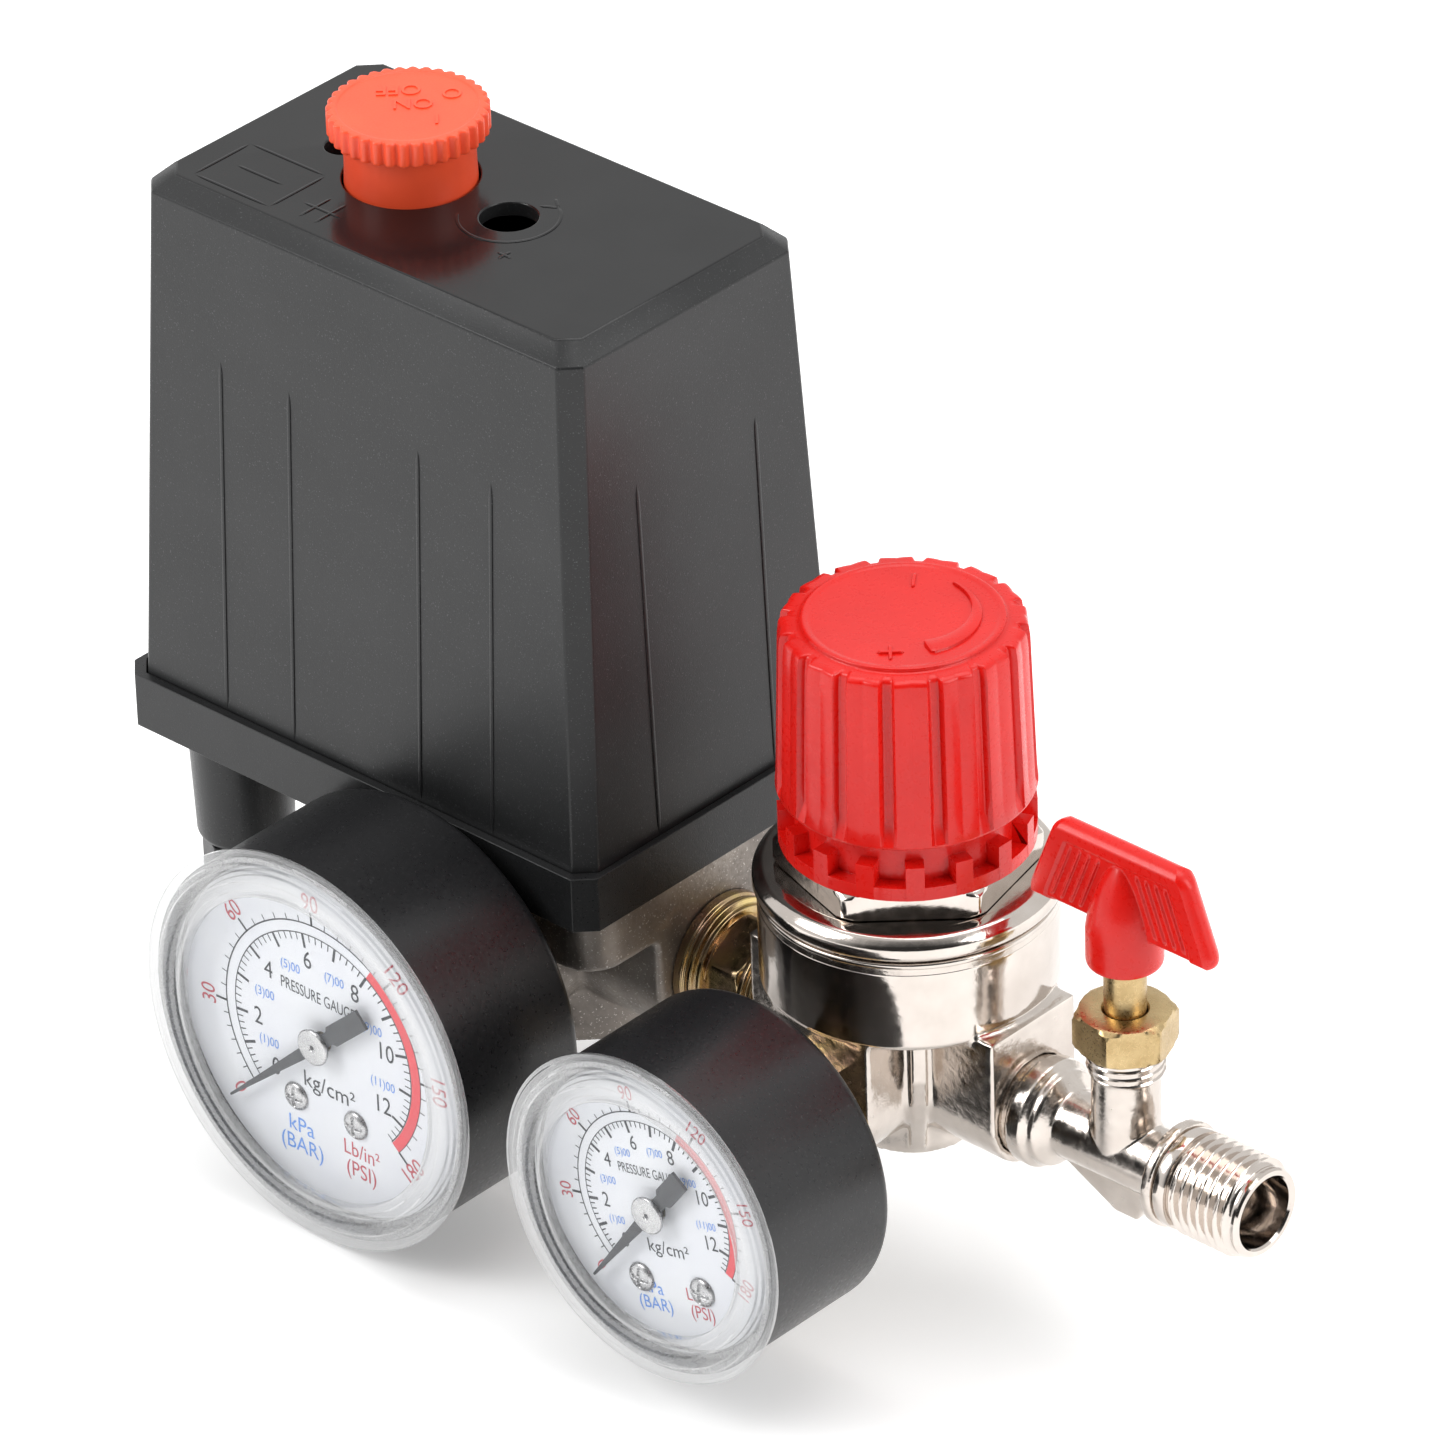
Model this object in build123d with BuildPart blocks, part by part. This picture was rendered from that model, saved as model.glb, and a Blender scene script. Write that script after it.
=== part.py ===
from build123d import *
from math import cos, pi, radians, sin
import os

os.makedirs("parts", exist_ok=True)

# Compressor pressure switch: a switch box on a four-way cast manifold, with a pressure regulator,
# an outlet tap and two pressure gauges screwed to it. Millimetres.
# Origin: centre of the mouth of the manifold's inlet, which screws onto the tank, facing down.
# +Z is up, +X runs along the box towards the outlet, and the gauges face -Y.

# ---- threads, fits and walls shared by several pieces
g14 = 6.58  # G1/4 thread, outside radius
g18 = 4.86  # G1/8 thread, outside radius
thread_fit = 0.03  # how much smaller a male thread is than its port
running = 0.05  # radial clearance of a pin or stem that turns
air = 0.3  # clearance between pieces that only pass each other
gallery_r = 3.0  # drilled air passages

# ---- manifold
port_z = 15.0  # level of every side port
arm_r = 11.2  # half width of an arm, and radius of its keel
arm_reach = 24.5
port_depth = 10.0
inlet_boss_r = 13.0
inlet_depth = 11.0
flange_width = 46.0
flange_thick = 8.3
flange_top = port_z + 15.6
flange_z = flange_top - flange_thick
flange_corner = 5.0
diaphragm_r = 13.5
diaphragm_thick = 1.6
base_screw_x = 18.5
base_screw_y = 17.0
base_screw_r = 2.0
base_head_r = 3.4
base_head_height = 2.2
base_screw_length = 10.0
cross_slot = 0.8  # width and length of the slots in the base screws' heads
cross_length = 3.4

# ---- switch housing
housing_x = -14.1  # middle of the box, off the inlet's axis
tray_length = 80.5
tray_width = 51.0
tray_height = 7.7
tray_floor = 3.5
tray_wall = 2.6
ledge_x = 1.1  # tray's edge showing round the cover
ledge_y = 1.35
draft_x = 2.45  # how far the cover's sides lean in by its top chamfer
draft_y = 3.35
foot_length = tray_length - 2 * ledge_x
foot_width = tray_width - 2 * ledge_y
head_length = foot_length - 2 * draft_x
head_width = foot_width - 2 * draft_y
corner_cut = 2.4
cover_lap = 3.0  # how far the cover sinks into the tray
cover_height = 69.2  # tray's edge to the top chamfer
cover_bevel = 2.3
cover_wall = 2.0
cover_fit = 0.1
floor_z = flange_top + tray_floor
tray_z = flange_top + tray_height
shoulder_z = tray_z + cover_height
cover_z = shoulder_z + cover_bevel

# ---- cable glands
gland_inset = 8.75  # from the tray's end
gland_x = housing_x - tray_length / 2 + gland_inset
gland_y = 13.5
gland_r = 7.0
gland_end_r = 6.3
gland_length = 19.0
gland_round = 1.4
gland_bore_r = 4.5
gland_nut_height = 7.0
gland_nut_flats = 10.4
cable_r = 3.4
spigot_length = 5.0
grommet_length = 5.0

# ---- on/off knob
knob_x = -23.6
knob_disc_r = 10.2
knob_disc_thick = 3.4
knob_stem_r = 8.4
knob_rise = 6.4  # disc's underside above the cover at rest
knob_travel = 5.8
knob_ridges = 36
knob_flute_r = 0.5
push_rod_r = 4.0

# ---- switch mechanism
post_x = -35.3
post_r = 3.0
cover_boss = 14.0  # the cover's boss reaches this far down to meet the post
screw_recess = 6.0
screw_grip = 16.0
cover_screw_r = 1.25
cover_hole_r = 2.3
adjuster_x = -7.0
adjuster_hole_r = 3.65
frame_y = 10.0  # inside of the steel frame's cheeks
sheet = 1.5
frame_front = -12.0
frame_back = 17.0
frame_height = 60.0
lever_pivot_x = 14.0
lever_z = 42.0
lever_thick = 3.0
pin_r = 1.5
plunger_r = 6.0
plunger_tip_r = 3.0
guide_wall = 2.5  # raised collar round the plunger
spring_r = 6.0
spring_wire = 1.4
spring_length = 35.0
spring_turns = 8
seat_nut_thick = 4.0
adjuster_r = 3.0

# ---- contact block and trip lever
block_length = 36.3
block_width = 36.0
block_height = 9.0
block_x = -30.4
trip_pivot_x = -43.0
trip_z = 62.0
trip_thick = 4.0
trip_tip_x = -14.0
contact_y = 14.1
trip_ear_y = 9.3
trip_ear_thick = 2.6
terminal_screw_r = 1.5
terminal_screw_length = 8.0
terminal_head_r = 2.7
terminal_head_height = 1.8
terminals_x = (-33.0, -25.0)
ear_length = 6.0
wire_pocket = 8.0
through = 40.0  # longer than anything it cuts across

# ---- regulator
reg_x = 56.8
reg_reach = 20.0  # inlet and outlet arms
reg_side_reach = 17.0  # gauge and plug arms
reg_arm_half = 7.8
bowl_r = 18.7
bowl_z = port_z + 11.7
bowl_height = 12.5
chamber_r = 14.0
chamber_floor = 3.0
valve_bore_depth = 15.0
side_port_depth = 7.0
hub_r = 8.2
hub_z = port_z - 10.6
rib_thick = 2.0
rib_r = 14.5
rib_knee_r = 12.5
bead_r = 19.3
bead_height = 3.7
bonnet_flats = 29.0
bonnet_hex_height = 3.6
neck_r = 12.0
neck_height = 15.5
reg_spring_r = 7.5
reg_spring_length = 11.0
reg_screw_r = 3.9
reg_collar_r = 6.0
drive_flats = 11.0
ring_r = 15.9
ring_wall_r = 13.9
ring_flange = 1.8
ring_height = 7.0
ring_blocks = 16
skirt_r = 16.1
crown_r = 15.0
skirt_gap = 2.6  # knob's skirt above the ring's blocks: the locking travel
lock_travel = 2.2
reg_knob_height = 23.4
knob_plate = 2.2
knob_grooves = 16
valve_r = 2.2

# ---- nipple between the manifold and the regulator
nipple_collar_r = 8.9
nipple_flats = 14.0

# ---- outlet tap
tap_x = 91.7  # stem's axis
tap_collar_r = 7.1
pipe_r = 4.45
outlet_start = 99.5
outlet_ring_r = 6.9
outlet_end = 113.8
outlet_bore_r = 4.7
boss_r = 4.3
boss_thread_r = 4.75
boss_top = port_z + 19.0
nut_z = port_z + 15.3
nut_height = 5.2
nut_flats = 11.4
stem_r = 2.65
stem_rise = 2.5  # the stem's full travel, open to shut
handle_z = port_z + 27.3
handle_hub_r = 4.8
wing_z = port_z + 31.7
wing_height = 12.4
wing_top = 20.5
wing_foot = 30.2
wing_thick = 3.0
fin_thick = 2.6

UP = (Align.CENTER, Align.CENTER, Align.MIN)
DOWN = (Align.CENTER, Align.CENTER, Align.MAX)


def keep(piece, name):
    """Label a finished piece and write its file."""
    piece.part.label = name
    export_step(piece.part, f"parts/{name}.step")


def cut_corner_rectangle(z, length, width):
    """Horizontal section of the box at one level: a rectangle with cut corners."""
    with BuildSketch(Plane.XY.offset(z)) as section:
        with Locations((housing_x, 0)):
            Rectangle(length, width)
        chamfer(section.vertices(), corner_cut)
    return section.sketch


# ======================= manifold and its seals =======================

with BuildPart() as manifold:
    with BuildSketch(Plane.XY.offset(flange_z)):
        RectangleRounded(2 * arm_reach, flange_width, flange_corner)
    extrude(amount=flange_thick)
    for across in (Plane.YZ, Plane.XZ):
        with BuildSketch(across):
            with Locations((0, port_z)):
                Circle(arm_r)
                Rectangle(2 * arm_r, flange_z - port_z, align=(Align.CENTER, Align.MIN))
        extrude(amount=arm_reach, both=True)
    Cylinder(inlet_boss_r, port_z, align=UP)
    for across in (Plane.YZ, Plane.XZ):
        with BuildSketch(across):
            with Locations((0, port_z)):
                Circle(gallery_r)
        extrude(amount=arm_reach, both=True, mode=Mode.SUBTRACT)
        for side in (1, -1):
            with BuildSketch(across.offset(side * arm_reach)):
                with Locations((0, port_z)):
                    Circle(g14)
            extrude(amount=-side * port_depth, mode=Mode.SUBTRACT)
    Cylinder(g14, inlet_depth, align=UP, mode=Mode.SUBTRACT)
    Cylinder(gallery_r, flange_top, align=UP, mode=Mode.SUBTRACT)
    with Locations((0, 0, flange_top - diaphragm_thick)):
        Cylinder(diaphragm_r, diaphragm_thick, align=UP, mode=Mode.SUBTRACT)
    with Locations((0, 0, flange_z)):
        with GridLocations(2 * base_screw_x, 2 * base_screw_y, 2, 2):
            Cylinder(base_screw_r, flange_thick, align=UP, mode=Mode.SUBTRACT)
keep(manifold, "manifold")

with BuildPart() as switch_diaphragm:
    with Locations((0, 0, flange_top - diaphragm_thick)):
        Cylinder(diaphragm_r - running, diaphragm_thick, align=UP)
keep(switch_diaphragm, "switch_diaphragm")

# hexagon-socket plugs shut the two ports that are not used
plug_length = 8.0
plug_socket_r = 3.5
plug_socket_depth = 5.0
with BuildPart() as manifold_plugs:
    for plane in (Plane.YZ.offset(-arm_reach), Plane.XZ.offset(-arm_reach)):
        with BuildSketch(plane):
            with Locations((0, port_z)):
                Circle(g14 - thread_fit)
        extrude(amount=plug_length)
        with BuildSketch(plane):
            with Locations((0, port_z)):
                RegularPolygon(plug_socket_r, 6)
        extrude(amount=plug_socket_depth, mode=Mode.SUBTRACT)
keep(manifold_plugs, "manifold_plugs")

# ======================= switch box =======================

gland_z = flange_top - gland_length
with BuildPart() as switch_base:
    tray = cut_corner_rectangle(flange_top, tray_length, tray_width)
    extrude(tray, amount=tray_height)
    pocket = cut_corner_rectangle(floor_z, tray_length - 2 * tray_wall, tray_width - 2 * tray_wall)
    extrude(pocket, amount=tray_height, mode=Mode.SUBTRACT)
    ledge = cut_corner_rectangle(
        tray_z - cover_lap, foot_length + 2 * cover_fit, foot_width + 2 * cover_fit
    )
    extrude(ledge, amount=cover_lap, mode=Mode.SUBTRACT)
    # two tapered barrels take the cables, and a tall post takes the cover's screw
    with Locations((gland_x, gland_y, gland_z), (gland_x, -gland_y, gland_z)):
        Cone(gland_end_r, gland_r, gland_length, align=UP)
    barrel_ends = switch_base.edges().filter_by(GeomType.CIRCLE).group_by(Axis.Z)[0]
    fillet(barrel_ends, gland_round)
    grommet_top = gland_z + spigot_length + grommet_length
    with Locations((gland_x, gland_y, 0), (gland_x, -gland_y, 0)):
        Cylinder(cable_r, floor_z, align=UP, mode=Mode.SUBTRACT)
        Cylinder(gland_bore_r, grommet_top, align=UP, mode=Mode.SUBTRACT)
    with Locations((post_x, 0, floor_z)):
        Cylinder(post_r, cover_z - cover_boss - floor_z, align=UP)
    with Locations((post_x, 0, cover_z - screw_recess - screw_grip)):
        Cylinder(cover_screw_r, cover_z, align=UP, mode=Mode.SUBTRACT)
    with Locations((0, 0, floor_z)):
        Cylinder(plunger_r + guide_wall, guide_wall, align=UP)
    with Locations((0, 0, flange_top)):
        Cylinder(plunger_r + running, tray_height, align=UP, mode=Mode.SUBTRACT)
        with GridLocations(2 * base_screw_x, 2 * base_screw_y, 2, 2):
            Cylinder(base_screw_r + air, tray_floor, align=UP, mode=Mode.SUBTRACT)
keep(switch_base, "switch_base")

with BuildPart() as base_screws:
    with Locations((0, 0, floor_z)):
        with GridLocations(2 * base_screw_x, 2 * base_screw_y, 2, 2):
            Cylinder(base_head_r, base_head_height, align=UP)
            Cylinder(base_screw_r - thread_fit, base_screw_length, align=DOWN)
    with Locations((0, 0, floor_z + base_head_height - 1.0)):
        with GridLocations(2 * base_screw_x, 2 * base_screw_y, 2, 2):
            Box(cross_length, cross_slot, 1.0, align=UP, mode=Mode.SUBTRACT)
            Box(cross_slot, cross_length, 1.0, align=UP, mode=Mode.SUBTRACT)
keep(base_screws, "base_screws")

with BuildPart() as cover:
    foot_z = tray_z - cover_lap
    outside = [
        cut_corner_rectangle(foot_z, foot_length, foot_width),
        cut_corner_rectangle(tray_z, foot_length, foot_width),
        cut_corner_rectangle(shoulder_z, head_length, head_width),
        cut_corner_rectangle(
            cover_z, head_length - 2 * cover_bevel, head_width - 2 * cover_bevel
        ),
    ]
    for lower, upper in zip(outside, outside[1:]):
        loft([lower, upper], ruled=True)
    inside = [
        cut_corner_rectangle(foot_z, foot_length - 2 * cover_wall, foot_width - 2 * cover_wall),
        cut_corner_rectangle(tray_z, foot_length - 2 * cover_wall, foot_width - 2 * cover_wall),
        cut_corner_rectangle(
            cover_z - cover_wall, head_length - 2 * cover_wall, head_width - 2 * cover_wall
        ),
    ]
    for lower, upper in zip(inside, inside[1:]):
        loft([lower, upper], ruled=True, mode=Mode.SUBTRACT)
    # the boss under the screw's hole
    with Locations((post_x, 0, cover_z - cover_boss)):
        Cylinder(post_r, cover_boss - cover_wall, align=UP)
        Cylinder(cover_screw_r + running, cover_boss, align=UP, mode=Mode.SUBTRACT)
    with Locations((post_x, 0, cover_z - screw_recess)):
        Cylinder(cover_hole_r, screw_recess, align=UP, mode=Mode.SUBTRACT)
    with Locations((knob_x, 0, cover_z - cover_wall)):
        Cylinder(knob_stem_r + 0.25, cover_wall, align=UP, mode=Mode.SUBTRACT)
    with Locations((adjuster_x, 0, cover_z - cover_wall)):
        Cylinder(adjuster_hole_r, cover_wall, align=UP, mode=Mode.SUBTRACT)
keep(cover, "cover")

with BuildPart() as cover_screw:
    with Locations((post_x, 0, cover_z - screw_recess)):
        Cylinder(cover_hole_r - 0.1, 1.6, align=UP)
        Cylinder(cover_screw_r - thread_fit, screw_grip, align=DOWN)
    with Locations((post_x, 0, cover_z - screw_recess + 0.8)):
        Box(2.6, 0.6, 1.0, align=UP, mode=Mode.SUBTRACT)
        Box(0.6, 2.6, 1.0, align=UP, mode=Mode.SUBTRACT)
keep(cover_screw, "cover_screw")

with BuildPart() as gland_nuts:
    for side in (1, -1):
        with BuildSketch(Plane.XY.offset(gland_z - gland_nut_height)):
            with Locations((gland_x, side * gland_y)):
                RegularPolygon(gland_nut_flats / 2, 6, major_radius=False, rotation=30)
        extrude(amount=gland_nut_height)
    with Locations((gland_x, gland_y, gland_z), (gland_x, -gland_y, gland_z)):
        Cylinder(gland_bore_r - thread_fit, spigot_length, align=UP)
        Cylinder(cable_r, 2 * gland_nut_height + spigot_length, mode=Mode.SUBTRACT)
keep(gland_nuts, "gland_nuts")

with BuildPart() as gland_grommets:
    grommet_z = gland_z + spigot_length
    with Locations((gland_x, gland_y, grommet_z), (gland_x, -gland_y, grommet_z)):
        Cylinder(gland_bore_r - thread_fit, grommet_length, align=UP)
        Cylinder(cable_r, 3 * grommet_length, mode=Mode.SUBTRACT)
keep(gland_grommets, "gland_grommets")

# ======================= on/off knob and contacts =======================

disc_z = cover_z + knob_rise
rod_z = trip_z + trip_thick / 2 + running
with BuildPart() as on_off_knob:
    with Locations((knob_x, 0, disc_z)):
        Cylinder(knob_disc_r, knob_disc_thick, align=UP)
        with PolarLocations(knob_disc_r + 0.15, knob_ridges):
            Cylinder(knob_flute_r, knob_disc_thick, align=UP, mode=Mode.SUBTRACT)
    with Locations((knob_x, 0, cover_z - cover_wall)):
        Cylinder(knob_stem_r, knob_rise + cover_wall, align=UP)
    with Locations((knob_x, 0, rod_z)):
        Cylinder(push_rod_r, cover_z - rod_z, align=UP)
keep(on_off_knob, "on_off_knob")

block_z = floor_z + block_height
with BuildPart() as terminal_block:
    with Locations((block_x, 0, floor_z)):
        Box(block_length, block_width, block_height, align=UP)
    with Locations((trip_pivot_x, trip_ear_y, block_z), (trip_pivot_x, -trip_ear_y, block_z)):
        Box(ear_length, trip_ear_thick, trip_z + 2 * pin_r - block_z, align=UP)
    with BuildSketch(Plane.XZ):
        with Locations((trip_pivot_x, trip_z)):
            Circle(pin_r)
    extrude(amount=through / 2, both=True, mode=Mode.SUBTRACT)
    with Locations((post_x, 0, floor_z)):
        Cylinder(post_r + air, block_height, align=UP, mode=Mode.SUBTRACT)
    with Locations((gland_x, gland_y, floor_z), (gland_x, -gland_y, floor_z)):
        Box(wire_pocket, wire_pocket, block_height, align=UP, mode=Mode.SUBTRACT)
    with Locations((-base_screw_x, base_screw_y, floor_z), (-base_screw_x, -base_screw_y, floor_z)):
        Cylinder(base_head_r + air, block_height, align=UP, mode=Mode.SUBTRACT)
    for x in terminals_x:
        with Locations((x, contact_y, block_z), (x, -contact_y, block_z)):
            Cylinder(terminal_screw_r, terminal_screw_length, align=DOWN, mode=Mode.SUBTRACT)
keep(terminal_block, "terminal_block")

strip_thick = 1.2
strip_width = 3.8
strip_start = -36.0
strip_tip = 4.0  # how far each strip's end reaches over the lever
riser_x = trip_tip_x + 0.4
contact_top = trip_z + trip_thick / 2 + running
with BuildPart() as fixed_contacts:
    for side in (1, -1):
        with BuildSketch(Plane.XZ.offset(-side * contact_y)):
            with BuildLine():
                Polyline(
                    (strip_start, block_z),
                    (riser_x + strip_thick, block_z),
                    (riser_x + strip_thick, contact_top + strip_thick),
                    (trip_tip_x - strip_tip, contact_top + strip_thick),
                    (trip_tip_x - strip_tip, contact_top),
                    (riser_x, contact_top),
                    (riser_x, block_z + strip_thick),
                    (strip_start, block_z + strip_thick),
                    close=True,
                )
            make_face()
        extrude(amount=strip_width / 2, both=True)
    for x in terminals_x:
        with Locations((x, contact_y, block_z), (x, -contact_y, block_z)):
            Cylinder(terminal_screw_r + running, strip_thick, align=UP, mode=Mode.SUBTRACT)
keep(fixed_contacts, "fixed_contacts")

with BuildPart() as terminal_screws:
    for x in terminals_x:
        with Locations((x, contact_y, block_z + strip_thick), (x, -contact_y, block_z + strip_thick)):
            Cylinder(terminal_head_r, terminal_head_height, align=UP)
            Cylinder(terminal_screw_r - thread_fit, terminal_screw_length + strip_thick, align=DOWN)
keep(terminal_screws, "terminal_screws")

# the lever is a frame round the post, with a crossbar that meets both contact strips
trip_tail = 3.0  # behind its pivot
trip_width = 15.0
trip_window_length = 11.8
trip_window_width = 8.0
with BuildPart() as trip_lever:
    with BuildSketch(Plane.XY.offset(trip_z - trip_thick / 2)):
        with Locations((trip_pivot_x - trip_tail, 0)):
            Rectangle(trip_tip_x - trip_pivot_x + trip_tail, trip_width, align=(Align.MIN, Align.CENTER))
        with Locations((trip_tip_x, 0)):
            Rectangle(strip_tip, 2 * contact_y + strip_width, align=(Align.MAX, Align.CENTER))
        with Locations((post_x, 0)):
            Rectangle(trip_window_length, trip_window_width, mode=Mode.SUBTRACT)
    extrude(amount=trip_thick)
    with BuildSketch(Plane.XZ):
        with Locations((trip_pivot_x, trip_z)):
            Circle(pin_r + running)
    extrude(amount=through / 2, both=True, mode=Mode.SUBTRACT)
keep(trip_lever, "trip_lever")

# ======================= range spring and pressure lever =======================

frame_top = floor_z + frame_height
with BuildPart() as switch_frame:
    for side in (1, -1):
        with Locations(((frame_front + frame_back) / 2, side * (frame_y + sheet / 2), floor_z)):
            Box(frame_back - frame_front, sheet, frame_height, align=UP)
    with Locations(((frame_front + frame_back) / 2, 0, frame_top - sheet)):
        Box(frame_back - frame_front, 2 * frame_y, sheet, align=UP)
    with Locations((adjuster_x, 0, frame_top - sheet)):
        Cylinder(adjuster_r + running, sheet, align=UP, mode=Mode.SUBTRACT)
    with BuildSketch(Plane.XZ):
        with Locations((lever_pivot_x, lever_z)):
            Circle(pin_r)
    extrude(amount=through / 2, both=True, mode=Mode.SUBTRACT)
keep(switch_frame, "switch_frame")

# one pin carries the pressure lever, the other the trip lever
with BuildPart() as pivot_pins:
    for x, z, half in (
        (lever_pivot_x, lever_z, frame_y + sheet),
        (trip_pivot_x, trip_z, trip_ear_y + trip_ear_thick / 2),
    ):
        with BuildSketch(Plane.XZ):
            with Locations((x, z)):
                Circle(pin_r - thread_fit)
        extrude(amount=half, both=True)
keep(pivot_pins, "pivot_pins")

lever_length = 26.0
with BuildPart() as pressure_lever:
    with Locations((lever_pivot_x + 2.0, 0, lever_z)):
        Box(
            lever_length + 2.0, 2 * frame_y - 2 * air, lever_thick,
            align=(Align.MAX, Align.CENTER, Align.CENTER),
        )
    with BuildSketch(Plane.XZ):
        with Locations((lever_pivot_x, lever_z)):
            Circle(pin_r + 1.3)
    extrude(amount=frame_y - air, both=True)
    with BuildSketch(Plane.XZ):
        with Locations((lever_pivot_x, lever_z)):
            Circle(pin_r + running)
    extrude(amount=through / 2, both=True, mode=Mode.SUBTRACT)
keep(pressure_lever, "pressure_lever")

lever_under = lever_z - lever_thick / 2
with BuildPart() as switch_plunger:
    with Locations((0, 0, flange_top)):
        Cylinder(plunger_r, floor_z - flange_top + guide_wall, align=UP)
        Cylinder(plunger_tip_r, lever_under - flange_top - running, align=UP)
    fillet(switch_plunger.edges().group_by(Axis.Z)[-1], 1.0)
keep(switch_plunger, "switch_plunger")

spring_z = lever_z + lever_thick / 2
with BuildPart() as range_spring:
    pitch = (spring_length - spring_wire - 2 * running) / spring_turns
    with BuildLine(Plane.XY.offset(spring_z + spring_wire / 2 + running)):
        coil = Helix(pitch, pitch * spring_turns, spring_r, center=(adjuster_x, 0, 0))
    with BuildSketch(Plane(origin=coil @ 0, z_dir=coil % 0)):
        Circle(spring_wire / 2)
    sweep(is_frenet=True)
keep(range_spring, "range_spring")

seat_nut_z = spring_z + spring_length
with BuildPart() as spring_nut:
    with Locations((adjuster_x, 0, seat_nut_z)):
        Box(9.6, 2 * frame_y - 2 * air, seat_nut_thick, align=UP)
        Cylinder(adjuster_r + running, seat_nut_thick, align=UP, mode=Mode.SUBTRACT)
keep(spring_nut, "spring_nut")

with BuildPart() as range_screw:
    with Locations((adjuster_x, 0, frame_top + running)):
        Cylinder(4.6, 4.0, align=UP)
        Cylinder(adjuster_r, 24.0, align=DOWN)
    with Locations((adjuster_x, 0, frame_top + 2.4)):
        Box(10.0, 1.2, 3.0, align=UP, mode=Mode.SUBTRACT)
keep(range_screw, "range_screw")

# ======================= nipple =======================

nipple_start = arm_reach
nipple_end = reg_x - reg_reach
nipple_thread = 9.0
with BuildPart() as hex_nipple:
    with BuildSketch(Plane.XZ):
        with BuildLine():
            Polyline(
                (nipple_start - nipple_thread, port_z),
                (nipple_start - nipple_thread, port_z + g14 - thread_fit),
                (nipple_start, port_z + g14 - thread_fit),
                (nipple_start, port_z + nipple_collar_r),
                (nipple_start + 2.2, port_z + nipple_collar_r),
                (nipple_start + 2.8, port_z + nipple_collar_r - 0.9),
                (nipple_start + 3.8, port_z + nipple_collar_r - 0.9),
                (nipple_start + 3.8, port_z + nipple_flats / 2),
                (nipple_end - 2.6, port_z + nipple_flats / 2),
                (nipple_end - 2.6, port_z + nipple_collar_r - 0.5),
                (nipple_end, port_z + nipple_collar_r - 0.5),
                (nipple_end, port_z + g14 - thread_fit),
                (nipple_end + nipple_thread, port_z + g14 - thread_fit),
                (nipple_end + nipple_thread, port_z),
                close=True,
            )
        make_face()
    revolve(axis=Axis((0, 0, port_z), (1, 0, 0)))
    with BuildSketch(Plane.YZ.offset(nipple_start + 3.8)):
        with Locations((0, port_z)):
            RegularPolygon(nipple_flats / 2, 6, major_radius=False)
    extrude(amount=nipple_end - nipple_start - 6.4)
    with BuildSketch(Plane.YZ.offset(nipple_start - nipple_thread)):
        with Locations((0, port_z)):
            Circle(gallery_r)
    extrude(amount=nipple_end - nipple_start + 2 * nipple_thread, mode=Mode.SUBTRACT)
keep(hex_nipple, "hex_nipple")

# ======================= regulator =======================

bowl_top = bowl_z + bowl_height
ports = (
    (Plane.YZ.offset(reg_x + reg_reach), (0, port_z), g14),
    (Plane.YZ.offset(reg_x - reg_reach), (0, port_z), g14),
    (Plane.XZ.offset(reg_side_reach), (reg_x, port_z), g18),
    (Plane.XZ.offset(-reg_side_reach), (reg_x, port_z), g18),
)
with BuildPart() as reg_body:
    with Locations((reg_x, 0, bowl_z)):
        Cylinder(bowl_r, bowl_height, align=UP)
    with Locations((reg_x, 0, hub_z)):
        Cylinder(hub_r, bowl_z - hub_z, align=UP)
    for across, centre, reach in (
        (Plane.YZ.offset(reg_x), 0, reg_reach),
        (Plane.XZ, reg_x, reg_side_reach),
    ):
        with BuildSketch(across):
            with Locations((centre, port_z)):
                Circle(reg_arm_half)
                Rectangle(2 * reg_arm_half, bowl_z + 0.5 - port_z, align=(Align.CENTER, Align.MIN))
        extrude(amount=reach, both=True)
    # four webs stiffen the corners between the arms
    for angle in (45, 135, 225, 315):
        outward = (cos(radians(angle)), sin(radians(angle)), 0)
        sideways = (sin(radians(angle)), -cos(radians(angle)), 0)
        with BuildSketch(Plane(origin=(reg_x, 0, 0), x_dir=outward, z_dir=sideways)):
            with BuildLine():
                Polyline(
                    (0, hub_z),
                    (hub_r, hub_z),
                    (rib_knee_r, port_z - 3.0),
                    (rib_r, port_z + 4.0),
                    (rib_r, bowl_z),
                    (0, bowl_z),
                    close=True,
                )
            make_face()
        extrude(amount=rib_thick / 2, both=True)
    # pressure chamber, valve bore and ports
    with Locations((reg_x, 0, bowl_z + chamber_floor)):
        Cylinder(chamber_r, bowl_height, align=UP, mode=Mode.SUBTRACT)
    with Locations((reg_x, 0, hub_z)):
        Cylinder(g18, valve_bore_depth, align=UP, mode=Mode.SUBTRACT)
        Cylinder(gallery_r, bowl_z + bowl_height / 2 - hub_z, align=UP, mode=Mode.SUBTRACT)
    for plane, centre, radius in ports:
        inward = -1 if plane.origin.X > reg_x or plane.origin.Y < 0 else 1
        with BuildSketch(plane):
            with Locations(centre):
                Circle(radius)
        extrude(amount=inward * (port_depth if radius == g14 else side_port_depth), mode=Mode.SUBTRACT)
        with BuildSketch(plane):
            with Locations(centre):
                Circle(gallery_r / 2)
        extrude(amount=inward * (reg_side_reach - 3.0), mode=Mode.SUBTRACT)
keep(reg_body, "reg_body")

with BuildPart() as valve_spring:
    for turn in range(3):
        with Locations((reg_x, 0, hub_z + 6.0 + 1.4 * turn)):
            Torus(2.6, 0.5)
keep(valve_spring, "valve_spring")

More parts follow.
